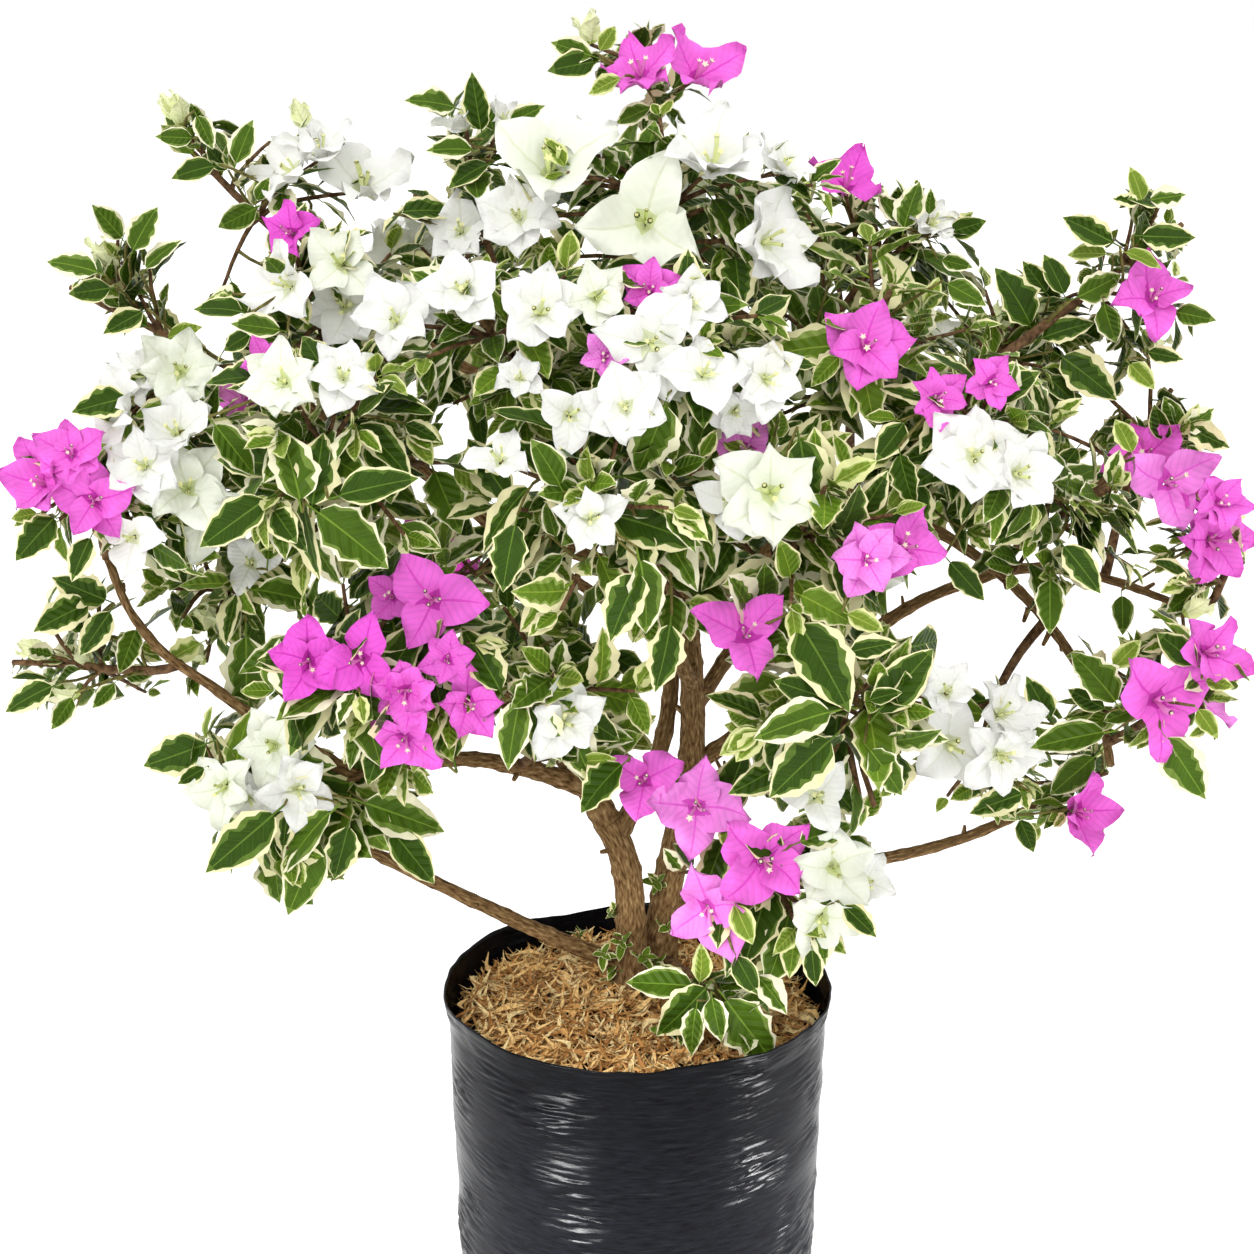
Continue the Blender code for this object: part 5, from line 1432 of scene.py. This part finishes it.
    def grow_mass(self, name):
        """The stem, twigs and leaves of one mass."""
        *_, length, (rim_twigs, fine_twigs) = MASSES[name]
        chance = random.Random(name)
        cell = self.cells[name]
        stem = mass_stem(name, self.branches, cell)
        stem = self.add_twig(stem, 6, name, length, chance, 0.45)
        carriers = [stem]
        for bloom in self.blooms[name]:
            foot = bloom.place - bloom.facing * bloom.size * 0.25
            twig = side_twig([stem], foot, TWIG_RADII, TWIG_STATIONS, chance.random() * 9)
            self.twigs.append((twig, 5))
            self.add_leaves(twig, name, length, chance, 0.3, 0.86)
            carriers.append(twig)
        for place in self.rim_twigs[name]:
            twig = side_twig([stem], place, TWIG_RADII, TWIG_STATIONS, chance.random() * 9)
            self.twigs.append((twig, 5))
            self.add_leaves(twig, name, length, chance, LEAF_FIRST_SHARE, 1.0, TIP_LEAVES)
            carriers.append(twig)
        for foot, tip in self.front_leaves[name]:
            self.add_front_leaf(foot, tip, carriers, chance)
        for mass, *pixel in BARE_TWIGS:
            if mass == name:
                line = sight_line(pixel)
                tip = CAMERA_PLACE + line * (cell.middle - CAMERA_PLACE).dot(line)
                self.twigs.append((side_twig([stem], tip, BARE_RADII, TWIG_STATIONS, chance.random() * 9), 5))
        outward = (stem.points[-1] - cell.middle).normalized()
        for index in range(rim_twigs):
            lean = math.acos(0.9 - 1.7 * (index + 0.5) / rim_twigs)
            heading = spin(outward, lean, GOLDEN_ANGLE * index + len(name))
            target = self.out_of_sky(cell.rim_point(heading, RIM_SHARE), cell)
            twig = side_twig([stem], target, TWIG_RADII, TWIG_STATIONS, chance.random() * 9)
            carriers.append(self.add_twig(twig, 5, name, length, chance, LEAF_FIRST_SHARE))
        for _ in range(fine_twigs):
            heading = Vector(chance.gauss(0, 1) for _ in range(3)).normalized()
            target = self.out_of_sky(cell.rim_point(heading, chance.uniform(*FINE_SHARES)), cell)
            twig = side_twig(carriers, target, FINE_RADII, FINE_STATIONS, chance.random() * 9)
            self.add_twig(twig, 4, name, length * chance.uniform(0.7, 1.0), chance, 0.3)

    def add_sprout(self, limb, share, heading):
        """A short green shoot with small leaves, on the side of a limb."""
        chance = random.Random(f"{limb}_{heading}")
        point, _, radius = self.branches[limb].at(share)
        outward = direction(heading, SPROUT_RISE)
        foot = point + outward * radius * 0.8
        tip = foot + outward * SPROUT_LENGTH
        self.twigs.append((tapered([foot, foot.lerp(tip, 0.5), tip], FINE_RADII), 4))
        for index in range(SPROUT_LEAVES):
            root = foot.lerp(tip, 0.3 + 0.7 * index / SPROUT_LEAVES)
            ahead = spin(outward, math.radians(chance.uniform(35, 75)), GOLDEN_ANGLE * index)
            across = (outward + Vector((0, 0, 0.6))).cross(ahead).normalized()
            size = chance.uniform(*SPROUT_LEAF)
            self.leaves.append((root, ahead, across * -1.0, ahead.cross(across), size, "fresh", True))

    def add_front_leaf(self, foot, tip, carriers, chance):
        """A leaf that the picture shows, between two places, on a fine twig of its own."""
        length = (tip - foot).length * FRONT_LEAF_WIDER
        ahead = (tip - foot).normalized()
        stalk_foot = foot - ahead * length * PETIOLE
        seed = chance.random() * 9
        twig = side_twig(carriers, stalk_foot, FINE_RADII, FINE_STATIONS, seed, FRONT_TWIG_SHARES)
        self.twigs.append((twig, 4))
        light = (CAMERA_PLACE - foot).normalized() + Vector((0, 0, 0.35))
        light += Vector(chance.uniform(-1, 1) for _ in range(3)) * FRONT_LEAF_SPREAD
        across = light.cross(ahead).normalized()
        shade = "young" if length < YOUNG_LEAF and chance.random() < 0.3 else chance.choice(FRONT_SHADES)
        self.leaves.append((foot, ahead, across * -1.0, ahead.cross(across), length, shade, True))

    def out_of_sky(self, target, cell):
        """A twig's end, drawn in towards the middle of its mass until it no longer shows against the sky."""
        for _ in range(SKY_STEPS):
            if not self.in_sky(target):
                break
            target = target.lerp(cell.middle, 1 / SKY_STEPS)
        return target

    def add_twig(self, twig, corners, name, leaf_length, chance, first_share):
        """Set leaves along a twig, cut it off past the last of them, and keep and return what is left."""
        last_leaf = self.add_leaves(twig, name, leaf_length, chance, first_share, 1.0, TIP_LEAVES)
        twig = twig.cut_at(min(1.0, max(last_leaf, first_share) + TWIG_PAST_LEAF))
        self.twigs.append((twig, corners))
        return twig

    def add_leaves(self, twig, name, leaf_length, chance, first_share, last_share, tip_leaves=0):
        """Leaves along a twig and small ones at its tip. Returns the share of its length of the last one."""
        run = twig.length() * (last_share - first_share)
        count = max(1, round(run / (LEAF_SPACING + LEAF_SPACING_BY_LENGTH * leaf_length)))
        turn = chance.uniform(0, math.tau)
        shade = chance.choice(("dark", "dark", "mid", "mid", "fresh"))
        last_leaf = 0.0
        for index in range(count):
            share = first_share + (last_share - first_share) * (index + 0.5) / count
            lean = LEAF_LEAN[0] + (LEAF_LEAN[1] - LEAF_LEAN[0]) * share
            size = leaf_length * chance.uniform(*LEAF_SIZE_SPREAD) * (1.05 - 0.35 * share**3)
            turn += GOLDEN_ANGLE
            if self.try_leaf(name, twig, share, lean, turn, size, shade, chance):
                last_leaf = share
        for index in range(tip_leaves):
            turn += GOLDEN_ANGLE
            size = leaf_length * TIP_LEAF_SIZE * chance.uniform(0.7, 1.1)
            young = "young" if chance.random() < 0.5 else "fresh"
            if self.try_leaf(name, twig, last_share, chance.uniform(15, 45), turn, size, young, chance):
                last_leaf = 1.0
        return last_leaf

    def try_leaf(self, name, twig, share, lean, turn, size, shade, chance):
        """Add a leaf, and say so, if it stays in the space of its mass and off the faces of the blooms."""
        point, along, thick = twig.at(share)
        cell = self.cells[name]
        for attempt in range(LEAF_TRIES):
            leaning = math.radians(lean + chance.uniform(-LEAF_LEAN_SPREAD, LEAF_LEAN_SPREAD))
            ahead = spin(along, leaning, turn + attempt * LEAF_STEP_TURN)
            ahead = (ahead + Vector((0, 0, -LEAF_SAG * size))).normalized()
            length = size * (1 - LEAF_STEP_SHRINK * attempt)
            tip = point + ahead * length * (1 + PETIOLE)
            if cell.scaled(tip - cell.middle).length > LEAF_SWELL:
                continue
            spots = [point + ahead * length * reach for reach in LEAF_SPOTS]
            if any(self.hides_bloom(spot) or self.in_sky(spot) for spot in spots):
                continue
            if tip.z < MIX_TOP + LEAF_ABOVE_MIX or not inside_box(tip, LEAF_PAST_BOX):
                continue
            outward = (point - CROWN_HEART).normalized()
            light = Vector((outward.x, outward.y, abs(outward.z) + LIGHT_FROM_ABOVE))
            light += along * LIGHT_ALONG_TWIG
            light += Vector(chance.uniform(-1, 1) for _ in range(3)) * LIGHT_SPREAD
            across = light.cross(ahead).normalized()
            root = point + ahead * (length * PETIOLE + thick * 0.5)
            self.leaves.append((root, ahead, across * -1.0, ahead.cross(across), length, shade, False))
            return True
        return False


def inside_box(point, allowance):
    """Whether a point lies in the box of the solids, give or take an allowance."""
    low, high = CAD_BOX
    return all(low[axis] - allowance < point[axis] < high[axis] + allowance for axis in range(3))


def make_leaves(crown):
    """The leaves of the crown, joined."""
    shades = ("dark", "mid", "fresh", "young")
    chance = random.Random("leaves")
    templates = {kind: leaf_templates(chance, cuts) for kind, cuts in LEAF_CUTS.items()}
    pile = Pile("leaves", leaf_materials(), "foliage", MASS_NODES)
    dealt = {}
    for leaf in crown.leaves:
        kind = "small" if leaf[4] < SMALL_LEAF else "large"
        choices = len(templates[kind])
        number = chance.randrange(round(choices * FRONT_PATTERNS) if leaf[6] else choices)
        dealt.setdefault((kind, number), []).append(leaf)
    for (kind, number), leaves in sorted(dealt.items()):
        template = templates[kind][number]
        roots, ahead, across, up = (np.array([leaf[part] for leaf in leaves]) for part in range(4))
        sizes = np.array([leaf[4] for leaf in leaves])
        maps = np.array([[shades.index(leaf[5]) * 4 + part for part in range(4)] for leaf in leaves])
        add_copies(pile, template, placed(template, roots, across, ahead, up, sizes), maps)
    pile.make_objects()


def make_blooms(crown):
    """The blooms and buds of the crown, joined: bracts round a foot, and the flowers in their middle."""
    shades = ("white", "cream", "bud", "magenta", "pink", "purple")
    chance = random.Random("blooms")
    pile = Pile("blooms", bract_materials(), "foliage")
    opened = bract_templates(chance, BRACT_OPENINGS, BRACT_VARIANTS, BRACT_HALF_WIDTH)
    closed = bract_templates(chance, BUD_OPENINGS, BRACT_VARIANTS // 2, BUD_HALF_WIDTH)
    flowers = {opened_wide: flower_template(opened_wide) for opened_wide in (True, False)}
    for bloom in (bloom for group in crown.blooms.values() for bloom in group):
        templates = closed if bloom.bud else opened
        first = shades.index(bloom.colour) * 5
        kind_map = np.array([[first + kind for kind in range(5)]])
        foot = bloom.place - bloom.facing * bloom.size * 0.25
        openness = 0 if bloom.bud else bloom.openness
        for index in range(bloom.bracts):
            inner = bloom.bracts > 3 and index % 2
            turn = bloom.turn + math.tau * index / bloom.bracts + chance.uniform(-0.16, 0.16)
            outward = spin(bloom.facing, math.pi / 2 + chance.uniform(-BRACT_TILT, BRACT_TILT), turn)
            across = outward.cross(bloom.facing).normalized()
            up = across.cross(outward)
            template = templates[openness * BRACT_VARIANTS + chance.randrange(BRACT_VARIANTS)]
            size = bloom.size * chance.uniform(0.9, 1.08) * (0.88 if inner else 1.0)
            origin = foot + bloom.facing * (0.0022 if inner else 0.0) + outward * 0.0012
            axes = (np.array([axis]) for axis in (origin, across, outward, up))
            add_copies(pile, template, placed(template, *axes, np.array([size])), kind_map)
        for index in range(0 if bloom.bud else FLOWERS):
            lean = math.radians(chance.uniform(9, 20))
            axis = spin(bloom.facing, lean, bloom.turn + math.tau * index / FLOWERS)
            side = axis.orthogonal().normalized()
            flower = flowers[chance.random() < OPEN_FLOWERS]
            size = bloom.size * FLOWER_LENGTH * chance.uniform(0.7, 1.2)
            axes = (np.array([part]) for part in (foot, side, axis.cross(side), axis))
            add_copies(pile, flower, placed(flower, *axes, np.array([size])), kind_map)
    pile.make_objects()


def make_twigs(crown):
    """The stems of the masses and all their twigs, joined."""
    materials = [
        twig_material("twig_brown", tint(70, 48, 30), tint(128, 98, 68)),
        twig_material("twig_green", tint(92, 84, 42), tint(134, 128, 70)),
    ]
    pile = Pile("twigs", materials, "bark", MASS_NODES)
    for twig, corners in crown.twigs:
        verts, faces = tube_arrays(twig.points, twig.radii, corners)
        green = 1 if corners == 4 else 0
        pile.add(verts, faces, np.full(len(faces), green))
    pile.make_objects()


# ---------------------------------------------------------------------------------------------------------
# Trunk and boughs
# ---------------------------------------------------------------------------------------------------------

def smooth_run(branch, spacing):
    """Evenly spaced points and radii on a smooth curve through a branch's points."""
    points = np.array(branch.points)
    before = np.concatenate([points[:1] * 2 - points[1:2], points[:-1]])
    after = np.concatenate([points[1:], points[-1:] * 2 - points[-2:-1]])
    pulls = (after - before) / 2
    dense = []
    radii = []
    for index in range(len(points) - 1):
        steps = max(2, round(np.linalg.norm(points[index + 1] - points[index]) / spacing))
        t = (np.arange(steps) / steps)[:, None]
        parts = (points[index], pulls[index], points[index + 1], pulls[index + 1])
        dense.append(sum(part * weight for part, weight in zip(parts, curve_weights(t))))
        radii.append(branch.radii[index] + (branch.radii[index + 1] - branch.radii[index]) * t[:, 0])
    dense.append(points[-1:])
    radii.append(np.array(branch.radii[-1:]))
    return np.concatenate(dense), np.concatenate(radii)


def bark_radii(radii, spacing, corners, seed, chance):
    """The radius of each corner of each ring of a limb, with lumps, fissures and swollen leaf joints."""
    length = len(radii) * spacing
    joints = np.arange(BARK_NODES * 0.5, length, BARK_NODES)
    joints = joints + np.array([chance.uniform(-NODE_SCATTER, NODE_SCATTER) for _ in joints])
    result = np.zeros((len(radii), corners))
    for ring, radius in enumerate(radii):
        run = ring * spacing
        swell = NODE_SWELL * float(np.exp(-(((run - joints) / NODE_LENGTH) ** 2)).sum())
        for corner in range(corners):
            turn = math.tau * corner / corners
            round_place = Vector((math.cos(turn), math.sin(turn), 0)) * radius
            lump = noise.noise(round_place / LUMP_WIDTH + Vector((seed, 0, run / LUMP_LENGTH)))
            crack = noise.noise(round_place / FISSURE_WIDTH + Vector((0, seed, run / FISSURE_LENGTH)))
            crack = 0.5 - abs(crack) * 2
            result[ring, corner] = radius * (1 + swell + BARK_LUMP * lump) + BARK_FISSURE * crack
    return result


def make_limbs(branches):
    """One mesh with the bark's relief for the stems and all the boughs, with cut stubs and bud scars."""
    pile = Pile("limbs", [bark_material()], "bark", LIMBS)
    for name, branch in branches.items():
        chance = random.Random(name + "_bark")
        points, radii = smooth_run(branch, BARK_SPACING)
        corners = max(10, int(radii.max() * math.tau / BARK_ARC))
        collar = COLLAR_SWELL * np.exp(-np.arange(len(radii)) * BARK_SPACING / COLLAR_LENGTH)
        thinner = 1 - LIMB_THINNED * np.linspace(0, 1, len(radii))
        radii = radii * (1 + collar) * thinner if LIMBS[name][0] != "potting_mix" else radii
        relief = bark_radii(radii, BARK_SPACING, corners, len(name) + ord(name[0]), chance)
        verts, faces = tube_arrays(points, relief, corners)
        runs = np.repeat(np.arange(len(points)) * BARK_SPACING, corners)
        rounds = np.tile(np.arange(corners) / corners * radii.mean() * math.tau, len(points))
        uvs = np.concatenate([np.stack([rounds, runs], -1), np.zeros((2, 2))])
        pile.add(verts, faces, np.zeros(len(faces), int), uvs)
        for _ in range(int(branch.length() * STUBS_PER_METRE)):
            add_stub(pile, branch, chance)
    pile.make_objects()


def add_stub(pile, branch, chance):
    """A short stub or bud on a limb, where a twig once grew."""
    point, along, radius = branch.at(chance.uniform(0.08, 0.97))
    ahead = spin(along, math.radians(chance.uniform(40, 75)), chance.uniform(0, math.tau))
    length = chance.uniform(*STUB_LENGTHS)
    thick = min(radius * 0.45, chance.uniform(*STUB_RADII))
    foot = point + ahead * radius * 0.6
    reaches = (0.0, radius * 0.45, radius * 0.5 + length * 0.6, radius * 0.5 + length)
    points = [foot + ahead * reach for reach in reaches]
    verts, faces = tube_arrays(points, [thick * 1.5, thick * 1.15, thick, thick * 0.8], STUB_CORNERS)
    uvs = np.zeros((len(verts), 2))
    uvs[:, 0] = verts[:, 0] + verts[:, 1]
    uvs[:, 1] = verts[:, 2]
    pile.add(verts, faces, np.zeros(len(faces), int), uvs)


# ---------------------------------------------------------------------------------------------------------
# Bag and mulch
# ---------------------------------------------------------------------------------------------------------

def waves(table, turn, share):
    """The sum of a table's waves at an angle and at a share of the bag's height."""
    return sum(part * math.sin(count * turn + start + twist * share) for count, start, twist, part in table)


def bag_radius(turn, height):
    """The outer radius of the bag's wall at an angle and a height, with its long soft folds."""
    share = height / BAG_HEIGHT
    radius = BAG_FOOT_RADIUS + (BAG_WALL_RADIUS - BAG_FOOT_RADIUS) * share
    flare = max(0.0, height - BAG_HEIGHT + BAG_FLARE_HEIGHT) / BAG_FLARE_HEIGHT
    radius += (BAG_RIM_RADIUS - BAG_WALL_RADIUS) * flare
    return radius + WALL_WAVE * share * waves(WALL_WAVES, turn, share)


def crease(turn, height):
    """How far the film stands out at a place: long dents, and sharp creases that lie level round the bag."""
    round_place = Vector((math.cos(turn), math.sin(turn), 0)) * BAG_WALL_RADIUS
    dent = noise.noise(round_place / DENT_LENGTH + Vector((3.0, 0, height / DENT_HEIGHT)))
    where = noise.noise(round_place / PATCH_LENGTH + Vector((0, 7.0, height / PATCH_HEIGHT)))
    fine = noise.noise(round_place / CREASE_LENGTH + Vector((0, 0, height / CREASE_HEIGHT)))
    finer_height = height / (CREASE_HEIGHT * 0.45)
    finer = noise.noise(round_place / (CREASE_LENGTH * 0.5) + Vector((5.0, 0, finer_height)))
    sharp = 0.5 - abs(fine) * 1.6 + 0.4 * (0.5 - abs(finer) * 1.6)
    return DENT_DEPTH * dent + CREASE_DEPTH * sharp * (0.10 + max(0.0, where + 0.12) * 1.5)


def make_film():
    """The bag as one sheet of film: flat foot, creased wall, wavy rim folded over, and inside of its top."""
    heights = np.linspace(BAG_CORNER, BAG_HEIGHT, FILM_ROWS)
    inside = np.linspace(BAG_HEIGHT - INSIDE_TOP, MIX_TOP - INSIDE_DEPTH, INSIDE_ROWS)
    rows = [("foot", share, 0.0) for share in FOOT_RINGS]
    for step in range(1, CORNER_ROWS):
        bend = math.pi / 2 * step / CORNER_ROWS
        rows.append(("corner", math.sin(bend), 1 - math.cos(bend)))
    rows += [("wall", height, 0.0) for height in heights]
    rows += [("rim", BAG_HEIGHT, inset) for inset in RIM_INSETS]
    rows += [("inside", height, 1.0) for height in inside]
    verts = []
    for kind, first, second in rows:
        for column in range(FILM_COLUMNS):
            turn = math.tau * column / FILM_COLUMNS
            verts.append(film_point(kind, first, second, turn))
    faces = grid_faces(len(rows), FILM_COLUMNS, True)
    bag = mesh_object("bag_film", verts, faces, np.zeros(len(faces), int), [film_material()])
    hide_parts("bag")


def film_point(kind, first, second, turn):
    """A point of the film: on the foot at a share of its radius, on the corner, or at a height of the wall."""
    level = Vector((math.cos(turn), math.sin(turn), 0))
    foot_radius = BAG_FOOT_RADIUS - BAG_CORNER
    if kind == "foot":
        return level * foot_radius * first
    if kind == "corner":
        return level * (foot_radius + BAG_CORNER * first) + Vector((0, 0, BAG_CORNER * second))
    height = first
    lift = RIM_WAVE * max(0.0, height / BAG_HEIGHT - 1.0 + RIM_BAND) / RIM_BAND * waves(RIM_WAVES, turn, 1.0)
    fade = min(1.0, (height - BAG_CORNER) / 0.02) * (1.0 if height < BAG_HEIGHT - 0.004 else 0.6)
    out = bag_radius(turn, height) + crease(turn, height) * fade
    rim = max(0.0, 1.0 - (BAG_HEIGHT - height) / BAG_FLARE_HEIGHT) * RIM_CRINKLE
    out += rim * noise.noise(level * 9.0)
    lift += rim * noise.noise(level * 7.0 + Vector((4.0, 0, 0)))
    if kind == "rim":
        bulge = math.sin(math.pi * second) * RIM_BULGE
        return level * (out - BAG_FILM * RIM_FOLD * second) + Vector((0, 0, height + lift + bulge))
    if kind == "inside":
        out -= BAG_FILM * RIM_FOLD
    return level * out + Vector((0, 0, height + lift))


def chip_template(chance):
    """A curled, pointed chip, one unit long, along +Y."""
    curl = chance.uniform(*CHIP_CURLS)
    cup = chance.uniform(*CHIP_CUPS)
    half = chance.uniform(*CHIP_HALF_WIDTHS)
    sway = chance.uniform(-CHIP_SWAY, CHIP_SWAY)
    verts = []
    for row in range(CHIP_ROWS):
        share = row / (CHIP_ROWS - 1)
        wide = half * math.sin(math.pi * min(max(share, 0.04), 0.96))
        lift = curl * (share - 0.5) ** 2
        middle = sway * math.sin(math.pi * share)
        for column in (-1, 0, 1):
            verts.append((middle + column * wide, share - 0.5, lift + cup * wide * abs(column)))
    faces = grid_faces(CHIP_ROWS, 3, False)
    verts = np.array(verts)
    return verts, faces, np.zeros(len(faces), int), verts[:, :2].copy()


def make_mulch():
    """The chips that cover the mix, lying at all angles, a few deep."""
    chance = random.Random("mulch")
    templates = [chip_template(chance) for _ in range(CHIP_VARIANTS)]
    pile = Pile("mulch", chip_materials(), "mix")
    placed_chips = [[] for _ in templates]
    for _ in range(CHIPS):
        turn = chance.uniform(0, math.tau)
        share = math.sqrt(chance.random())
        reach = (bag_radius(turn, MIX_TOP) - BAG_FILM - CHIP_WALL_GAP) * share
        height = MIX_TOP + CHIP_LIFT + CHIP_DOME * (1 - share**2) + chance.uniform(0, CHIP_LAYER)
        place = Vector((reach * math.cos(turn), reach * math.sin(turn), height))
        level = chance.uniform(0, math.tau)
        ahead = Vector((math.cos(level), math.sin(level), chance.gauss(0, CHIP_TIP))).normalized()
        roll = Vector((chance.gauss(0, CHIP_ROLL), chance.gauss(0, CHIP_ROLL), 0))
        up = (Vector((0, 0, 1)) + roll).normalized()
        across = ahead.cross(up).normalized()
        up = across.cross(ahead)
        if chance.random() < CHIPS_TURNED:
            up = -up
        length = chance.uniform(*CHIP_LENGTHS)
        chips = placed_chips[chance.randrange(CHIP_VARIANTS)]
        chips.append((place, across, ahead, up, length, chance.randrange(len(pile.materials))))
    for template, chips in zip(templates, placed_chips):
        places, across, ahead, up = (np.array([chip[part] for chip in chips]) for part in range(4))
        sizes = np.array([chip[4] for chip in chips])
        maps = np.array([[chip[5]] for chip in chips])
        add_copies(pile, template, placed(template, places, across, ahead, up, sizes), maps)
    pile.make_objects()


# ---------------------------------------------------------------------------------------------------------
# Studio
# ---------------------------------------------------------------------------------------------------------

def make_floor():
    """A wide pale floor."""
    verts = [(0.0, 0.0, 0.0)]
    for corner in range(FLOOR_CORNERS):
        turn = math.tau * corner / FLOOR_CORNERS
        verts.append((FLOOR_RADIUS * math.cos(turn), FLOOR_RADIUS * math.sin(turn), 0.0))
    faces = [(0, 1 + corner, 1 + (corner + 1) % FLOOR_CORNERS) for corner in range(FLOOR_CORNERS)]
    mesh = bpy.data.meshes.new("studio_floor")
    mesh.from_pydata(verts, [], faces)
    mesh.materials.append(studio_material())
    floor = bpy.data.objects.new("studio_floor", mesh)
    bpy.context.scene.collection.objects.link(floor)


def make_sky():
    """A bright, even sky all round."""
    world = bpy.data.worlds.new("studio")
    world.use_nodes = True
    world.node_tree.nodes["Background"].inputs["Color"].default_value = (1.0, 1.0, 1.0, 1.0)
    world.node_tree.nodes["Background"].inputs["Strength"].default_value = 1.0
    bpy.context.scene.world = world


def add_light(name, kind, power, back):
    """A light of one kind whose back faces a direction. Returns the light and its lamp."""
    lamp = bpy.data.lights.new(name, kind)
    lamp.energy = power
    light = bpy.data.objects.new(name, lamp)
    light.rotation_mode = "QUATERNION"
    light.rotation_quaternion = back.to_track_quat("Z", "Y")
    bpy.context.scene.collection.objects.link(light)
    return light, lamp


def add_soft_box(name, power, place, back, width, spread):
    """A square soft box that the camera doesn't see, its spread in degrees, and its lamp."""
    light, lamp = add_light(name, "AREA", power, back)
    light.visible_camera = False
    light.location = place
    lamp.size = width
    lamp.spread = math.radians(spread)
    return lamp


def make_lights():
    """A key from the upper left, a front light and a fill, and soft boxes for the bag's film and the mulch."""
    for name, (heading, rise, power, spread) in SUNS.items():
        _, lamp = add_light(name, "SUN", power, direction(heading, rise))
        lamp.angle = math.radians(spread)
    for name, (heading, width) in FILM_LIGHTS.items():
        back = direction(heading, 0)
        place = back * FILM_LIGHT_OUT + FILM_LIGHT_UP
        lamp = add_soft_box(name, FILM_LIGHT_POWER, place, back, width, FILM_LIGHT_SPREAD)
        lamp.shape = "RECTANGLE"
        lamp.size_y = FILM_LIGHT_HEIGHT
    back = MULCH_LIGHT_PLACE - MULCH_LIGHT_AIM
    add_soft_box("mulch_light", MULCH_LIGHT, MULCH_LIGHT_PLACE, back, MULCH_LIGHT_SIZE, MULCH_LIGHT_SPREAD)


def make_camera():
    """The camera, where the picture was taken from."""
    data = bpy.data.cameras.new("camera")
    data.sensor_width = SENSOR_WIDTH
    data.lens = SENSOR_WIDTH * FOCAL_PIXELS / PICTURE_SIZE
    camera = bpy.data.objects.new("camera", data)
    camera.location = CAMERA_PLACE
    camera.rotation_euler = (math.pi / 2 - CAMERA_DIP, 0, 0)
    bpy.context.scene.collection.objects.link(camera)
    bpy.context.scene.camera = camera


def main():
    """Dress the solids."""
    noise.seed_set(NOISE_SEED)
    make_camera()
    make_sky()
    make_lights()
    make_floor()
    bpy.context.scene.view_settings.view_transform = "Standard"
    branches = {}
    for name in LIMBS:
        branches[name] = limb_branch(name, branches)
    make_limbs(branches)
    crown = Crown(branches)
    crown.grow()
    make_twigs(crown)
    make_leaves(crown)
    make_blooms(crown)
    make_film()
    make_mulch()
    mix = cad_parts["potting_mix"]
    mix.data.materials.clear()
    mix.data.materials.append(mix_material())


main()
